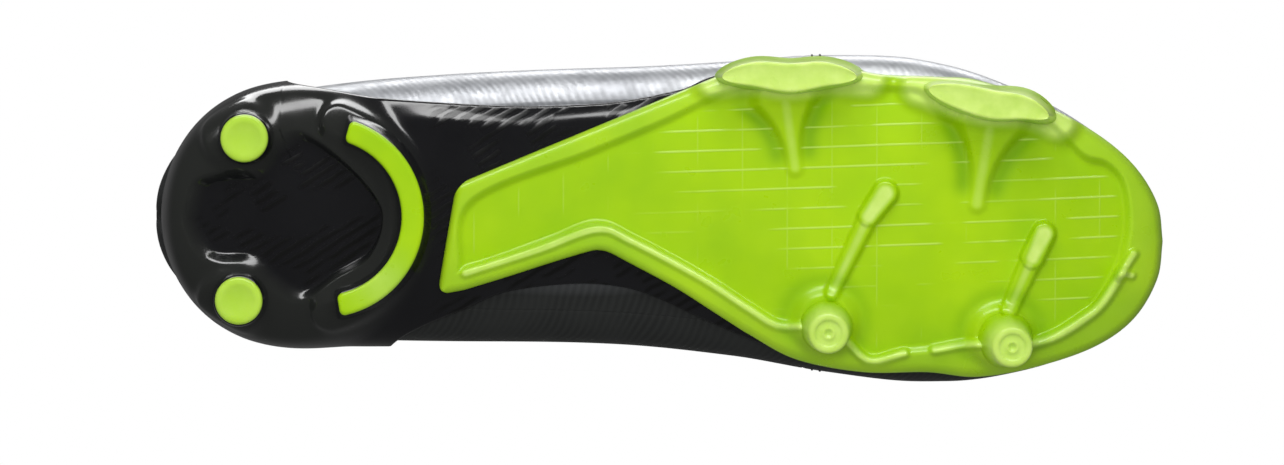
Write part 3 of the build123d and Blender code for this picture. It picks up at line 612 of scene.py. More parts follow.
# Webs behind the lateral studs: root, tip, half-widths there.
FINS = [((34.6, -33), (37.3, -14.5), 9.0, 1.3), ((91.2, -26), (87.6, -4.5), 10.0, 1.5)]
EDGE_BEADS = [  # ridges along the medial rim, beside the studs and round the toe: points, half-width, height
    ([(-54, 14.8), (-34, 8.4), (-17.5, 2.6), (-8, 5.8), (10.9, 15.8), (24.3, 24.4), (32.3, 29.2), (40, 29.2)],
     0.9, 0.8),
    ([(51.5, 33.4), (58.1, 39.0), (67.5, 36.9)], 0.9, 1.3),
    ([(76.0, 35.9), (83, 34.6), (89.0, 34.2)], 0.9, 1.3),
    ([(102.7, 34.6), (110, 32.2), (117.8, 27.4), (122.6, 23.2), (128.3, 14.6)], 1.2, 1.4),
    ([(127.4, 15.8), (131.4, 9.6)], 0.8, 1.3),
    ([(127.6, 15.0), (130.8, 15.6)], 0.7, 1.0),
]


def ridge(at, start, end, half_start, half_end, soft):
    """1 on a ridge between two plan points, falling to 0 at its sides; and how far along it each point is."""
    a, b = np.array(start, float), np.array(end, float)
    ab = b - a
    t = np.clip(((at - a) @ ab) / (ab @ ab), 0, 1)
    off = np.linalg.norm(at - a - t[..., None] * ab, axis=-1)
    half = half_start + (half_end - half_start) * t
    return 1 - step(half, half + soft, off), t


def fore_features(at):
    """Thickness of the forefoot plate at plan points, its painted highlight share, its share of hollow painted
    darker as shade, and its tray share.
    """
    edge = distance_to(at, fore_outline, closed=True)
    off = distance_to(at, tray_loop, closed=True)
    off = np.where(inside(at, tray_loop), -off, off)
    rim = step(-2.2, 0.6, off)
    thick = FLOOR_T + (RIM_T - FLOOR_T) * rim
    # Painted highlight, a lighter colour: a touch on the rim, and strongly along the beads, fin and shank
    # crests and lateral stud faces.
    painted_highlight = 0.08 * rim
    for points, half, height in EDGE_BEADS:
        near = distance_to(at, smooth_curve(points, 40))
        thick = thick + height * (1 - step(half * 0.5, half + 1.2, near))
        painted_highlight = np.maximum(painted_highlight, 0.75 * (1 - step(0.3, half + 0.4, near)))
    # Hollows beside the webs and round the medial studs: thinned a little, and painted darker as shade.
    hollow_and_painted_shade = np.zeros(edge.shape)
    for start, end, half, tip_half in FINS:
        a, b = np.array(start), np.array(end)
        t = np.clip(((at - a) @ (b - a)) / ((b - a) @ (b - a)), 0, 1)
        aside = np.linalg.norm(at - a - t[..., None] * (b - a), axis=-1)
        half_here = tip_half + (half - tip_half) * (1 - t) ** 2.6
        web = 1 - step(half_here * 0.7, half_here + 2.0, aside)
        thick = np.maximum(thick, FLOOR_T + (0.9 + 3.4 * (1 - t) ** 1.6) * web)
        painted_highlight = np.maximum(painted_highlight, 0.35 * (1 - step(0.2, tip_half + 0.5, aside)))
        beside = np.exp(-((aside - half_here - 3.2) / 2.6) ** 2) * step(1.05, 0.75, t) * step(-0.1, 0.15, t)
        hollow_and_painted_shade = np.maximum(hollow_and_painted_shade, beside * step(0, 2, edge))
    for start, neck, half0, half1, end, end_half in SHANKS:
        shaft, t = ridge(at, start, neck, half0, half1, 1.5)
        head, _ = ridge(at, neck, end, half1 + 0.4, end_half, 1.3)
        thick = np.maximum(thick, FLOOR_T + np.maximum((1.6 + 1.2 * t) * shaft, 3.4 * head))
        crest, _ = ridge(at, neck, end, 0.8, 1.3, 1.4)
        thin, _ = ridge(at, start, neck, 0.2, 0.5, 0.9)
        painted_highlight = np.maximum(painted_highlight, np.maximum(1.0 * crest, 0.5 * thin))
    for base, _ in MEDIAL_STUDS:
        away = np.linalg.norm(at - np.array(base), axis=-1)
        thick = thick + 2.8 * (1 - step(6.6, 11.5, away)) ** 1.6
        hollow_and_painted_shade = np.maximum(hollow_and_painted_shade, 0.5 * np.exp(-((away - 11.5) / 2.2) ** 2) * step(3, 6, edge))
    for spine in LATERAL_STUDS:
        away = distance_to(at, smooth_curve(spine, 30))
        thick = thick + 3.0 * (1 - step(3.5, 9.0, away)) ** 1.5
        painted_highlight = np.maximum(painted_highlight, 0.9 * (1 - step(3.0, 7.0, away)))
    middle = step(2.5, 5.0, -off) * (1 - np.clip((thick - FLOOR_T) / 0.8, 0, 1))
    rounded = 2.2 * (1 - lip(edge, 2.4))
    return np.maximum(thick - 0.5 * hollow_and_painted_shade - rounded, 0.8), painted_highlight, hollow_and_painted_shade, middle


def forefoot_plate():
    s = np.concatenate([np.linspace(0, 0.04, 16), np.linspace(0.04, 0.9, 400)[1:],
                        0.9 + 0.1 * np.sin(np.linspace(0, math.pi / 2, 60))[1:]])
    v = clustered(80, 2.4, 170)
    corner = 3.6
    tail = (FORE_TAIL[1][0] * (1 - v) + FORE_TAIL[0][0] * v + corner * (1 - lip(v * 30, corner))
            + corner * (1 - lip((1 - v) * 30, corner)))
    x = tail[None, :] + (TOE_X - tail[None, :]) * s[:, None]
    low = np.interp(x, lateral_edge[:, 0], lateral_edge[:, 1])
    high = np.interp(x, medial_edge[:, 0], medial_edge[:, 1])
    y = low * (1 - v) + high * v
    at = np.stack([x, y], -1)
    thick, painted_highlight, hollow_and_painted_shade, tray = fore_features(at)
    trim = np.interp(x, [-64, 60, 105, 131, 137, 139.9], [32.0, 29.0, 30.0, 33.0, 33.5, 31.0])
    out_z = np.minimum(under_z(x, y, -thick), trim - 0.6)
    in_z = np.minimum(trim, np.maximum(under_z(x, y, -0.2), out_z + 0.6))
    top = np.stack([x, y, out_z], -1)
    plate = skin_over(top, np.stack([x, y, in_z], -1))
    parts = [plate]
    # Painted highlight on the studs, strongest towards their tips.
    stud_painted_highlight = []
    cone = [(9.0, 17.5), (8.4, 14.8), (7.6, 12.0), (7.0, 9.0), (6.4, 5.6), (5.95, 2.6), (5.7, 1.1),
            (5.45, 0.45), (5.05, 0.08), (4.5, 0.0), (3.9, 0.02), (3.6, 0.35), (3.2, 0.55), (2.0, 0.55),
            (1.7, 0.3), (1.35, 0.22), (1.0, 0.5), (0.6, 1.0), (0.01, 1.1)]
    for base, tip in MEDIAL_STUDS:
        parts.append(lathe(cone, base, tip))
        stud_painted_highlight.append(0.75 * step(9.0, 2.0, parts[-1][0][:, 2]))
    for base, tip in zip(LATERAL_STUDS, LATERAL_TIPS):
        parts.append(lateral_stud(base, tip))
        stud_painted_highlight.append(step(14.0, 4.0, parts[-1][0][:, 2]))
    marks = {"painted_highlight": painted_highlight, "hollow_and_painted_shade": hollow_and_painted_shade, "tray": tray}
    values = {key: np.tile(value.ravel(), 2) for key, value in marks.items()}
    values["painted_highlight"] = np.concatenate([values["painted_highlight"], *stud_painted_highlight])
    make("forefoot_tray", joined(parts), "lime_plate", nodes=("forefoot_plate",), attributes=values,
         outward=False)


def blade_outline(points, half, z, fullness=0.5, count=44):
    """A closed plan loop round a curved spine, half wide in its middle and rounded to nothing at its ends."""
    spine = smooth_curve(points, count)
    side = directions(spine)[:, ::-1] * (-1, 1)
    t = (1 - np.cos(np.linspace(0, math.pi, count))) / 2
    spine = np.stack([np.interp(t, np.linspace(0, 1, count), spine[:, k]) for k in (0, 1)], -1)
    side = np.stack([np.interp(t, np.linspace(0, 1, count), side[:, k]) for k in (0, 1)], -1)
    width = max(half, 0.0) * (1 - (2 * t - 1) ** 2)[:, None] ** fullness
    loop = np.vstack([spine + side * width, (spine - side * width)[-2:0:-1]])
    return np.column_stack([loop, np.full(len(loop), z)])


def lateral_stud(base, tip):
    """A blade stud along the lateral rim, flared at its root, with a softened edge round its worn face."""
    loops = []
    steps = [(17.0, 0, 1.8), (13.0, 0.2, 1.0), (10.0, 0.4, 0.5), (7.0, 0.62, 0.2), (4.0, 0.83, 0.1),
             (1.6, 0.97, 0.0), (0.7, 1.0, -0.15), (0.2, 1.0, -0.5), (0.0, 1.0, -1.0), (0.0, 1.0, -1.9),
             (0.15, 1.0, -2.5), (0.15, 1.0, -9)]
    for z, share, grow in steps:
        spine = [np.array(a) * (1 - share) + np.array(b) * share for a, b in zip(base, tip)]
        loops.append(blade_outline(spine, 4.7 * (1 - share) + 4.1 * share + 0.6 * grow, z))
    return stacked(loops)


forefoot_plate()


# ---------------------------------------------------------------- sole unit: the black heel plate and its tips
HEEL_STUDS = {"lateral": (-114.8, -22.9), "medial": (-116.4, 21.9)}
BLADE_CENTRE, BLADE_OUTER_R, BLADE_INNER_R = np.array((-93.0, -1.2)), 27.6, 21.7
BLADE_TURNS = (math.radians(-74), math.radians(80))
HALF_BLADE = 2.95  # half the blade's width
HEEL_T, HEEL_RIM_T, TIP_Z = 1.9, 4.9, 2.2  # thickness in the dish and round it, and the tips' height
WING_X = 37.0  # where the plate's two wings end, under the forefoot plate
dish_loop = smooth_curve([HEEL_DISH[-1], *HEEL_DISH, HEEL_DISH[0]], 160)
heel_lateral = smooth_curve(HEEL_LATERAL, 200)
heel_medial = smooth_curve(HEEL_MEDIAL, 200)


def blade_distance(at):
    """Plan distance to the middle line of the heel blade."""
    rel = at - BLADE_CENTRE
    turn = np.clip(np.arctan2(rel[..., 1], rel[..., 0]), *BLADE_TURNS)
    r = (BLADE_OUTER_R + BLADE_INNER_R) / 2
    return np.linalg.norm(rel - r * np.stack([np.cos(turn), np.sin(turn)], -1), axis=-1)


def heel_features(at, z):
    """Thickness of the heel plate over the form, and where the slanted strokes are."""
    x, y = at[..., 0], at[..., 1]
    off = distance_to(at, dish_loop, closed=True)
    outside = np.where(inside(at, dish_loop), -off, off)
    block = 1 - step(31, 40, np.linalg.norm(at - np.array((-101, -1.0)), axis=-1))
    rim = step(-1.8, 0.6, outside) * block
    thick = HEEL_T + (HEEL_RIM_T - HEEL_T) * rim
    under = step(24, 15.5, z)
    for stud in HEEL_STUDS.values():
        thick = thick + 2.4 * under * (1 - step(7.5, 12.5, np.linalg.norm(at - stud, axis=-1))) ** 1.5
    thick = thick + 2.4 * under * (1 - step(3.0, 8.5, blade_distance(at))) ** 1.5
    spine = np.interp(x, [-70, -40, 0, 20], [-27.5, -24.5, -28, -36])
    thick = thick + 0.9 * np.exp(-((y - spine) / 3.0) ** 2) * step(-76, -60, x) * step(24, 20, z)
    hatch = step(0.5, 3.5, -outside) + step(-66, -58, x) * step(30, 26, z)
    return thick, np.clip(hatch, 0, 1), rim * step(30, 22, z)


def heel_plate():
    x = round_ended(-136.6, WING_X, np.concatenate([np.linspace(0, 0.12, 70), np.linspace(0.12, 1, 330)[1:]]))
    half, _, below, _ = section_size(x, -HEEL_T)
    power = bottom_power(x) / 2
    trim = np.interp(x, *np.transpose(TRIM_Z))
    by_height = np.arccos(np.clip((widest_z(x) - trim) / below, 0, 1) ** power)
    sides = []
    for line, sign in ((heel_lateral, -1), (heel_medial, 1)):
        line = line[np.argsort(line[:, 0])]
        edge_y = np.interp(x, line[:, 0], line[:, 1])
        ratio = np.clip(sign * (edge_y - centre_y(x)) / np.maximum(half, 1e-6), 0, FULL_WIDTH)
        sides.append(np.where(x < line[0, 0], by_height, np.minimum(by_height, np.arcsin(ratio**power))))

    def span(x):
        return -math.pi / 2 + sides[1], -math.pi / 2 - sides[0]

    xx, turns, _, aside = laid_out(x, span, -HEEL_T, clustered(80, 1.6, 190))
    base = on_form(xx, turns, -HEEL_T)
    thick, hatch, raised = heel_features(base[..., :2], base[..., 2])
    share = lip(np.minimum(aside, WING_X - xx), 1.6)
    top = on_form(xx, turns, -(0.3 + (thick - 0.3) * share))
    under = on_form(xx, turns, np.full(turns.shape, -0.22))
    cone = [(7.9, 17.0), (7.85, 14.6), (7.75, 12.0), (7.5, 8.5), (7.3, 5.4), (7.1, 3.4), (6.9, 2.5),
            (6.3, 2.2), (0.01, 2.2)]
    studs = [lathe(cone, at, at) for at in HEEL_STUDS.values()]
    make("heel_plate_moulding", joined([skin_over(top, under), *studs, blade()]), "black_plate",
         nodes=("heel_plate",), attributes={"hatch": hatch.ravel(), "raised": raised.ravel()}, outward=False)


def blade_loop(grow, z, round_end=1.6, count=40):
    """Outline of the heel blade at height z, grown outwards, with rounded corners."""
    loop = []
    inner, outer = BLADE_INNER_R - grow, BLADE_OUTER_R + grow
    reach = grow / BLADE_OUTER_R
    start, end = BLADE_TURNS[0] - reach, BLADE_TURNS[1] + reach
    corners = np.linspace(0, math.pi / 2, 7)
    r = max(min(round_end, (outer - inner) / 2 - 0.1), 0.0)

    def corner(radius, turn, radial, tangential, flip):
        return [(radius + radial * r * (math.sin(a) - 1), turn + tangential * r * (math.cos(a) - 1) / radius)
                for a in (corners[::-1] if flip else corners)]

    polar = [(outer, t) for t in np.linspace(start + r / outer, end - r / outer, count)]
    polar += corner(outer, end, 1, 1, True)[1:]
    polar += corner(inner, end, -1, 1, False)
    polar += [(inner, t) for t in np.linspace(end - r / inner, start + r / inner, count)[1:-1]]
    polar += corner(inner, start, -1, -1, True)
    polar += corner(outer, start, 1, -1, False)[:-1]
    for radius, turn in polar:
        loop.append((BLADE_CENTRE[0] + radius * math.cos(turn), BLADE_CENTRE[1] + radius * math.sin(turn), z))
    return np.array(loop)


def blade():
    """The black body of the crescent stud, wider at its root, closed just inside its tip cap."""
    low, root_grow, tip_grow = TIP_Z - 0.05, 2.2, 0.35
    loops = [blade_loop(tip_grow + (root_grow - tip_grow) * share**1.3, low + (ROOT_Z - low) * share)
             for share in (1.0, 0.75, 0.5, 0.25, 0.08, 0.0)]
    return stacked([*loops, blade_loop(tip_grow - 0.5, low), blade_loop(-HALF_BLADE, low)])


def heel_tips():
    tip = [(6.0, 2.4), (6.42, 2.35), (6.56, 2.1), (6.6, 1.4), (6.52, 0.8), (6.25, 0.3), (5.8, 0.06),
           (5.2, 0.0), (4.4, 0.0), (4.25, 0.1), (0.01, 0.12)]
    for side, at in HEEL_STUDS.items():
        shape = lathe(tip, at, at)
        # Painted highlight, lighter towards the tip caps' faces.
        make(f"{side}_stud_tip_cap", shape, "lime_tip", nodes=(f"heel_stud_tip_{side}",),
             attributes={"painted_highlight": 0.35 * step(2.2, 0.2, shape[0][:, 2])}, outward=False)
    rounding = [(-0.5, 2.4), (0.0, 2.3), (0.15, 1.9), (0.15, 1.1), (0.0, 0.5), (-0.4, 0.12), (-0.9, 0.0),
                (-1.6, 0.0), (-2.2, 0.0), (-2.8, 0.0), (-HALF_BLADE, 0.0)]
    shape = stacked([blade_loop(grow, z) for grow, z in rounding])
    # A painted highlight spot in the middle of the blade cap's face.
    middle = BLADE_CENTRE + 24.6 * np.array((math.cos(0.85), math.sin(0.85)))
    painted_highlight_spot = np.exp(-(np.linalg.norm(shape[0][:, :2] - middle, axis=1) / 7.0) ** 2)
    make("blade_tip_cap", shape, "lime_tip", nodes=("heel_blade_tip",), attributes={"painted_highlight": 0.4 * painted_highlight_spot})


heel_plate()
heel_tips()


# ---------------------------------------------------------------- the upper's outline curves
THROAT_TOE_X, THROAT_TOP_X, THROAT_HALF, THROAT_TOP_HALF = 40.0, -75.0, 9.5, 14.5
EYESTAY_TOP_X, EYELET_X, EYELET_INSET = -42.0, (30, 17, 4, -9, -22, -35), 6.0
MARGIN, MIN_SLOT = 10.0, 0.05
END_X = 137.4995  # where the upper closes at its toe and heel
topline_curve = smooth_curve(TOPLINE, 300)


def topline(x):
    return np.interp(x, topline_curve[:, 0], topline_curve[:, 1])


def throat_half(x):
    t = (THROAT_TOE_X - x) / (THROAT_TOE_X - THROAT_TOP_X)
    return THROAT_HALF + t * (THROAT_TOP_HALF - THROAT_HALF)


def bottom_turns(x, margin, inset):
    """Turns where the bottom's margin line lies, on the medial and the lateral side."""
    reach = HALF_LENGTH - margin
    at = np.clip(x * HALF_LENGTH / reach, -HALF_LENGTH, HALF_LENGTH)
    width = np.maximum(np.where(np.abs(x) < reach, taken_in(half_width(at), margin), 0), MIN_SLOT)
    return turn_at_width(x, width, inset, top=False), 2 * math.pi + turn_at_width(x, -width, inset, top=False)


def side_span(side, top_height=topline, inset=0.0, margin=MARGIN):
    """One side wall of the upper, from the bottom's margin up to the topline or the throat's edge."""

    def span(x):
        medial, lateral = bottom_turns(x, margin, inset)
        edge = np.where(x > EYESTAY_TOP_X, throat_half(x), MIN_SLOT)
        throat_turn = turn_at_width(x, side * edge, inset)
        top_turn = turn_at_height(x, side, top_height(x), inset)
        if side > 0:
            return medial, np.minimum(throat_turn, top_turn)
        return lateral, np.maximum(throat_turn, top_turn)

    return span


def over_toe(margin, inset):
    return lambda x: bottom_turns(x, margin, inset)


def eyelets(side):
    """Plan positions of one side's eyelets."""
    return [(x, centre_y(x) + side * (throat_half(x) + EYELET_INSET)) for x in EYELET_X]


def top_point(x, y, inset):
    """A point on the form's upper side at a plan position, in mm."""
    turn = turn_at_width(np.asarray(x, float), y - centre_y(x), inset)
    return surface(x, turn, inset)


def tube(points, radius, steps, flat):
    """A tube along points, squashed upwards by flat and narrowed at its ends."""
    ahead = directions(points)
    side = np.cross(ahead, (0.0, 0.0, 1.0))
    side /= np.maximum(np.linalg.norm(side, axis=1, keepdims=True), 1e-9)
    up = np.cross(side, ahead)
    turns = np.linspace(0, 2 * math.pi, steps, endpoint=False)[:, None]
    ends = np.ones(len(points))
    ends[0] = ends[-1] = 0.05
    return stacked([p + r * radius * (np.cos(turns) * s + flat * np.sin(turns) * u)
                    for p, s, u, r in zip(points, side, up, ends)])


def stitches(line, length=2.2, gap=0.9, radius=0.32, spacing=0.55):
    """Thread stitches half sunk along a line on the form, from points spacing apart."""
    line = resample(line, max(8, int(np.linalg.norm(np.diff(line, axis=0), axis=1).sum() / spacing)))
    per, skip = max(3, int(length / spacing)), max(1, int(gap / spacing))
    return joined([tube(line[start:start + per], radius, 6, 0.8)
                   for start in range(0, len(line) - per, per + skip)])


def seam(name, place):
    """Stitches along place(t), a curve of points on the upper."""
    make(name, stitches(place(np.linspace(0, 1, 240))), "black_cloth", outward=False)


def upper_skins():
    """The three silver panels, with rounded edges, and the stitched seams between and along them."""
    toe = wall(THROAT_TOE_X - 0.6, END_X, over_toe(MARGIN, 0), 0.0, 1.3, (110, 170), closed_high=True)
    make("toe_vamp_skin", toe, "silver_skin", nodes=("vamp",))
    for name, side in (("lateral", -1), ("medial", 1)):
        shape = wall(-END_X, THROAT_TOE_X, side_span(side), 0.0, 1.3, (190, 110), closed_low=True)
        make(f"{name}_quarter_skin", shape, "silver_skin", nodes=(f"{name}_quarter",))

        def over_seam(t, side=side, at_x=THROAT_TOE_X + 2.2):
            low = turn_at_height(np.full(t.shape, at_x), side, 26.0, -0.1)
            high = turn_at_width(np.full(t.shape, at_x), side * 11.0, -0.1)
            return surface(np.full(t.shape, at_x), low + (high - low) * t, -0.1)

        seam(f"{name}_vamp_stitching", over_seam)
        seam(f"{name}_vamp_stitching_outer", lambda t, side=side: over_seam(t, side, THROAT_TOE_X + 4.4))

        def below_topline(t, side=side):
            x = -134.0 + (EYESTAY_TOP_X - 6 + 134.0) * t
            return surface(x, turn_at_height(x, side, topline(x) - 4.0, -0.1), -0.1)

        seam(f"{name}_topline_stitching", below_topline)


def eyestays():
    for name, side in (("lateral", -1), ("medial", 1)):
        def span(x, side=side):
            a = turn_at_width(x, side * throat_half(x), -1.1)
            b = turn_at_width(x, side * (throat_half(x) + 13.0), -1.1)
            return (a, b) if side > 0 else (b, a)

        shape = wall(EYESTAY_TOP_X, THROAT_TOE_X + 1.5, span, -1.15, -0.15, (90, 16), edge=0.9)
        make(f"{name}_eyestay_band", shape, "black_cap", nodes=(f"{name}_eyestay",))
        rings = [eyelet(x, y) for x, y in eyelets(side)]
        make(f"{name}_eyelet_rings", joined(rings), "black_cap", outward=False)
        for edge, offset in (("inner", 1.9), ("outer", 11.2)):
            def line(t, side=side, offset=offset):
                x = EYESTAY_TOP_X + 2 + (THROAT_TOE_X - 2 - EYESTAY_TOP_X) * t
                return surface(x, turn_at_width(x, side * (throat_half(x) + offset), -1.2), -1.2)

            seam(f"{name}_eyestay_stitching_{edge}", line)


def frame_at(x, y, inset):
    """A point on top of the form and its outward normal."""
    p = top_point(x, y, inset)
    du = top_point(x + 0.5, y, inset) - p
    dv = top_point(x, y + 0.5, inset) - p
    normal = np.cross(du, dv)
    return p, normal / np.linalg.norm(normal)


def eyelet(x, y):
    """A rolled eyelet ring with its dark mouth, standing on the eyestay."""
    p, up = frame_at(x, y, -1.15)
    a = np.cross(up, (1.0, 0, 0))
    a /= np.linalg.norm(a)
    b = np.cross(up, a)
    turns = np.linspace(0, 2 * math.pi, 28, endpoint=False)[:, None]
    rolled = [(3.5, -0.2), (3.45, 0.25), (3.2, 0.5), (2.8, 0.58), (2.4, 0.42), (2.2, 0.1), (2.1, -0.8),
              (0.05, -0.8)]
    return stacked([p + r * (np.cos(turns) * a + np.sin(turns) * b) + h * up for r, h in rolled])


def ribbon(points, ups, width, thickness, steps=14):
    """A flat lace along points: a soft-edged band, as a closed tube of lens section."""
    side = np.cross(directions(points), ups)
    side /= np.linalg.norm(side, axis=1, keepdims=True)
    turns = np.linspace(0, 2 * math.pi, steps, endpoint=False)
    across = np.sign(np.cos(turns)) * np.abs(np.cos(turns)) ** 0.7 * width / 2
    rise = np.sign(np.sin(turns)) * np.abs(np.sin(turns)) ** 0.7 * thickness / 2
    return stacked([p + across[:, None] * s + rise[:, None] * u for p, s, u in zip(points, side, ups)])


def lace():
    """One flat braided lace, crossed from eyelet to eyelet, each crossing lying over the one before."""
    lateral, medial = eyelets(-1), eyelets(1)
    runs = [(lateral[0], medial[0], 0.0)]
    for i in range(len(EYELET_X) - 1):
        runs += [(lateral[i], medial[i + 1], 0.0), (medial[i], lateral[i + 1], 1.15)]
    parts = []
    for start, end, lift in runs:
        t = np.linspace(0, 1, 60)
        x, y = (start[k] + (end[k] - start[k]) * t for k in (0, 1))
        points, ups = [], []
        for u, px, py in zip(t, x, y):
            p, up = frame_at(px, py, -1.95)
            sink = 2.4 * (1 - step(0.0, 0.07, min(u, 1 - u)))
            arch = lift * step(0.12, 0.42, min(u, 1 - u)) - 0.5 * step(0.2, 0.5, min(u, 1 - u)) * (lift == 0)
            points.append(p + up * (arch - sink))
            ups.append(up)
        parts.append(ribbon(points, ups, 4.6, 1.1))
    make("crossed_lace", joined(parts), "lace", nodes=("lace",), outward=False)


def heel_cap():
    """The moulded cap round the heel, as one sheet from side to side, with a soft keel down its back."""
    outer, inner, front_x, low_z = -1.1, -0.1, -98.0, 34.0
    round_the_back = clustered(150.0, 1.1, 150)
    lateral = round_the_back < 0.5

    def span(x):
        top_z = np.interp(x, (-138, -122, -112, front_x), (70.0, 70.0, 58.0, 37.0))
        return [np.where(lateral, turn_at_height(x, -1, z, outer), turn_at_height(x, 1, z, outer))
                for z in (np.full(x.shape, low_z), top_z)]

    x = round_ended(-END_X, front_x, np.abs(2 * round_the_back - 1))
    xx, turns, _, aside = laid_out(x, span, outer, clustered(40.0, 1.1, 70))
    z = on_form(xx, turns, outer)[..., 2]
    keel = 2.4 * step(-127, -137.4, xx) * step(0, 8, z - low_z) * step(70, 52, z)
    share = lip(np.minimum(front_x - xx, aside), 1.1) * (0.25 + 0.75 * step(0, 14, front_x - xx))
    middle, half = (outer + inner) / 2, (inner - outer) / 2
    top = on_form(xx, turns, middle - (half + keel) * share)
    return skin_over(top, on_form(xx, turns, middle + half * share))


def heel_pieces():
    """The moulded heel cap and the webbing pull loop behind the collar."""
    make("heel_cap_shell", heel_cap(), "black_cap", nodes=("heel_cap",))
    z = np.concatenate([np.linspace(70.5, 88, 16), 88 + 5.2 * np.sin(np.linspace(0.2, math.pi, 14))])
    back = np.interp(z[:16], (70.5, 88), (-137.9, -137.0))
    x = np.concatenate([back, -137.2 + 3.0 * np.sin(np.linspace(0, math.pi / 2, 14)) ** 2 * 1.6])
    points = np.stack([x, np.full(len(x), -0.6), z], -1)
    ups = np.cross(directions(points), (0, 1.0, 0))
    make("pull_tab_webbing", ribbon(points, ups, 12.0, 1.2, 20), "lime_webbing", nodes=("heel_pull_tab",))


def linings():
    def under_collar(x):
        return np.interp(x, *np.transpose(LINING_TOP))

    toe = wall(THROAT_TOE_X, END_X, over_toe(7.2, 2.9), 2.9, 3.6, (60, 90), edge=0.5)
    make("toe_lining_cloth", toe, "black_cloth", nodes=("vamp_lining",))
    for name, side in (("lateral", -1), ("medial", 1)):
        span = side_span(side, under_collar, 2.9, 7.2)
        shape = wall(-END_X, THROAT_TOE_X, span, 2.9, 3.6, (110, 60), edge=0.5)
        make(f"{name}_lining_cloth", shape, "black_cloth", nodes=(f"{name}_lining",))


def collars():
    """Each half of the collar: foam under cloth, fuller in its middle and rolled over at the topline."""
    for name, side in (("lateral", -1), ("medial", 1)):
        def span(x, side=side):
            low = turn_at_height(x, side, topline(x) - 20.0, 1.5)
            high = turn_at_height(x, side, topline(x) + 1.6, 1.5)
            return low, high

        shape = collar_cushion(-END_X, -52.0, span, 1.45, 6.4)
        cushion = make(f"{name}_collar_cushion", shape, "black_cloth",
                       nodes=(f"{name}_collar_padding", f"{name}_collar_lining"))


def collar_cushion(x_low, x_high, span, outer, inner):
    """A quilted pad between two insets, fullest in its middle, with a soft edge."""
    x = round_ended(x_low, x_high, clustered(x_high - x_low, 4.0, 90))
    v = clustered(22.0, 2.5, 34)
    xx, turns, from_first, aside = laid_out(x, span, outer, v)
    near = np.minimum(x_high - xx, aside)
    crown = 0.72 + 0.28 * np.sin(np.clip(v, 0, 1) * math.pi) ** 0.7
    quilt = 1 - 0.16 * np.exp(-((np.mod(from_first, 6.6) - 3.3) / 0.7) ** 2)
    top = on_form(xx, turns, outer + (inner - outer) * 0.12 * (1 - lip(near, 2.0)))
    under = on_form(xx, turns, outer + (inner - outer) * (0.12 + 0.88 * lip(near, 4.0) * crown * quilt))
    return skin_over(top, under)


def tongue():
    """The tongue: quilted padding between two cloths, bound round its edge, with a lace keeper."""
    top, half = 3.9, 21.0
    x_low, x_high = -59.0, 46.0

    def across(x):
        taper = np.minimum(1.0, 0.72 + 0.28 * np.minimum(x - x_low, x_high - x) / 14)
        return turn_at_width(x, half * taper, top), turn_at_width(x, -half * taper, top)

    x = round_ended(x_low, x_high, clustered(x_high - x_low, 3.0, 130))
    xx, turns, _, aside = laid_out(x, across, top, clustered(42.0, 2.5, 60))
    near = np.minimum.reduce([xx - x_low, x_high - xx, aside])
    full = lip(near, 3.2)
    groove = np.exp(-((np.mod(xx - 5.0, 9.0) - 4.5) / 0.7) ** 2) * step(3, 6, near)
    edge_seam = np.exp(-((near - 3.4) / 0.5) ** 2)
    dent = 0.8 * groove + 0.5 * edge_seam
    middle = top + 2.2
    upper = on_form(xx, turns, middle - 2.2 * full + dent)
    under = on_form(xx, turns, middle + 2.1 * full - 0.5 * dent)
    cushion = make("tongue_cushion", skin_over(upper, under), "black_cloth", "tongue",
                   nodes=("tongue_cover", "tongue_padding", "tongue_lining"))

    keeper_x = np.linspace(-25, 1, 30)
    points = [top_point(px, centre_y(px), top - 0.7) for px in keeper_x]
    ups = [frame_at(px, float(centre_y(px)), top)[1] for px in keeper_x]
    make("lace_keeper_strap", ribbon(points, ups, 11.0, 1.0, 18), "lime_webbing", "tongue",
         nodes=("tongue_lace_keeper",))


def insole():
    def bed(margin):
        def span(x):
            medial, lateral = bottom_turns(x, margin, 1.7)
            return lateral - 2 * math.pi, medial
        return span

    foam = wall(-126.0, 126.0, bed(9.2), 1.75, 5.0, (150, 60), edge=1.6)
    make("insole_foam_bed", foam, "insole_foam", "insole", nodes=("insole_foam",))
    cloth = wall(-125.6, 125.6, bed(9.6), 5.15, 5.95, (150, 60), edge=0.5)
    make("insole_cover_cloth", cloth, "insole_cloth", "insole", nodes=("insole_cloth",))


upper_skins()
eyestays()
lace()
heel_pieces()
linings()
collars()
tongue()
insole()
for node, slot in (("strobel_board", "silver_skin"), ("toe_puff", "grey_stiffener"),
                   ("lateral_heel_stiffener", "grey_stiffener"), ("medial_heel_stiffener", "grey_stiffener")):
    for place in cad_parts[node].material_slots:
        place.material = materials[slot]


# ---------------------------------------------------------------- studio
def area_light(name, at, towards, size, power, lights="all"):
    """A soft box; lights="reflections" shows only in glossy surfaces, and "surfaces" only lights them."""
    data = bpy.data.lights.new(name, "AREA")
    data.shape, data.size, data.size_y = "RECTANGLE", *size
    data.energy = power
    light = bpy.data.objects.new(name, data)
    bpy.context.scene.collection.objects.link(light)
    light.location = at
    light.rotation_euler = (Vector(towards) - Vector(at)).to_track_quat("-Z", "Y").to_euler()
    light.visible_camera = False
    light.visible_glossy = lights != "surfaces"
    light.visible_diffuse = lights != "reflections"


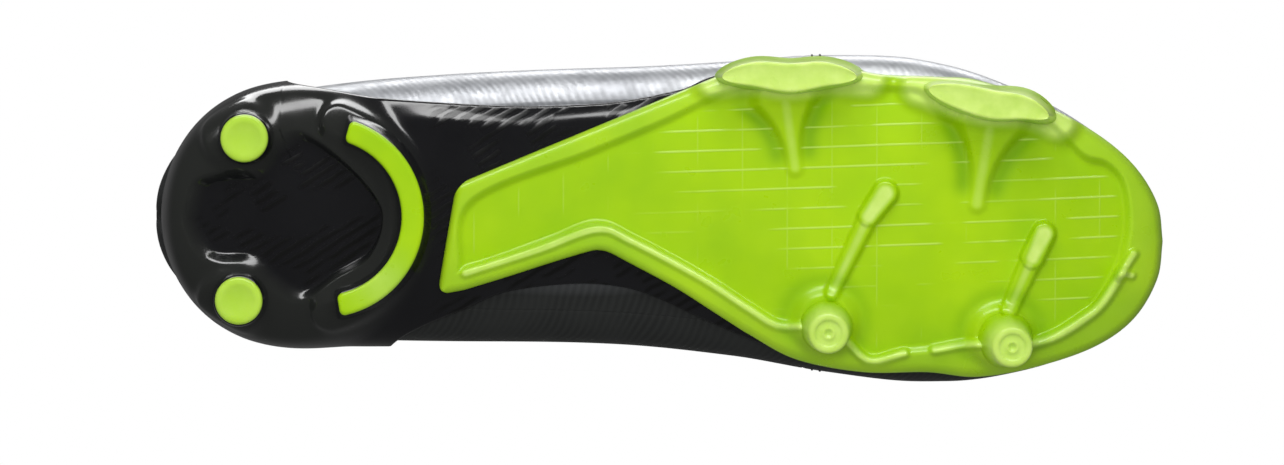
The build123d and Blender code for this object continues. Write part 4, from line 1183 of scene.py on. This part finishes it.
def studio():
    """A near-white floor seen only from above, a white surround, soft boxes on both sides, and the camera."""
    mesh = bpy.data.meshes.new("floor")
    mesh.from_pydata([(-3, -3, 0), (3, -3, 0), (3, 3, 0), (-3, 3, 0)], [], [(0, 1, 2, 3)])
    floor = bpy.data.objects.new("floor", mesh)
    floor.location = (0, 0, -0.0006)
    bpy.context.scene.collection.objects.link(floor)
    paint = bpy.data.materials.new("floor_paint")
    paint.use_nodes = True
    tree = paint.node_tree
    tree.nodes["Principled BSDF"].inputs["Base Color"].default_value = (0.86, 0.86, 0.86, 1)
    tree.nodes["Principled BSDF"].inputs["Roughness"].default_value = 0.7
    facing = tree.nodes.new("ShaderNodeNewGeometry")
    clear = tree.nodes.new("ShaderNodeBsdfTransparent")
    mix = tree.nodes.new("ShaderNodeMixShader")
    tree.links.new(facing.outputs["Backfacing"], mix.inputs[0])
    tree.links.new(tree.nodes["Principled BSDF"].outputs[0], mix.inputs[1])
    tree.links.new(clear.outputs[0], mix.inputs[2])
    tree.links.new(mix.outputs[0], tree.nodes["Material Output"].inputs[0])
    mesh.materials.append(paint)
    floor.visible_shadow = floor.visible_diffuse = floor.visible_glossy = floor.visible_transmission = False

    world = bpy.data.worlds.new("surround")
    bpy.context.scene.world = world
    world.use_nodes = True
    tree = world.node_tree
    lit = tree.nodes["Background"]
    lit.inputs["Color"].default_value = (0.9, 0.95, 1.0, 1)
    lit.inputs["Strength"].default_value = 0.34
    ray = tree.nodes.new("ShaderNodeLightPath")
    shown = lit.outputs[0]
    for kind, brightness in (("Is Glossy Ray", 0.10), ("Is Camera Ray", 1.0)):
        other = tree.nodes.new("ShaderNodeBackground")
        other.inputs["Color"].default_value = (brightness, brightness, brightness, 1)
        mix = tree.nodes.new("ShaderNodeMixShader")
        tree.links.new(ray.outputs[kind], mix.inputs[0])
        tree.links.new(shown, mix.inputs[1])
        tree.links.new(other.outputs[0], mix.inputs[2])
        shown = mix.outputs[0]
    tree.links.new(shown, tree.nodes["World Output"].inputs[0])

    middle = (0.0, 0.0, 0.02)
    area_light("lateral_strip", (0.02, -0.80, -0.34), middle, (1.1, 0.22), 6, lights="reflections")
    area_light("lateral_fill", (0.02, -0.9, -0.7), middle, (1.0, 0.6), 6, lights="surfaces")
    area_light("under_fill", (-0.05, -0.15, -1.3), middle, (0.9, 0.6), 9.5, lights="surfaces")
    area_light("lateral_top_box", (0.1, -1.0, 1.0), middle, (1.2, 0.6), 10)
    area_light("medial_top_box", (-0.2, 0.9, 1.1), middle, (1.2, 0.5), 8, lights="surfaces")

    data = bpy.data.cameras.new("camera")
    data.sensor_width, data.lens = 36.0, 303.6
    camera = bpy.data.objects.new("camera", data)
    bpy.context.scene.collection.objects.link(camera)
    tilt = math.atan(0.035)
    ahead = Vector((0, math.sin(tilt), math.cos(tilt)))
    camera.location = Vector((-0.0051, 0.0035, 0.014)) - 3.0 * ahead
    right = Vector((1, 0, 0))
    back = -ahead
    camera.rotation_euler = Matrix((right, back.cross(right), back)).transposed().to_euler()
    bpy.context.scene.camera = camera
    bpy.context.scene.view_settings.view_transform = "Standard"


studio()
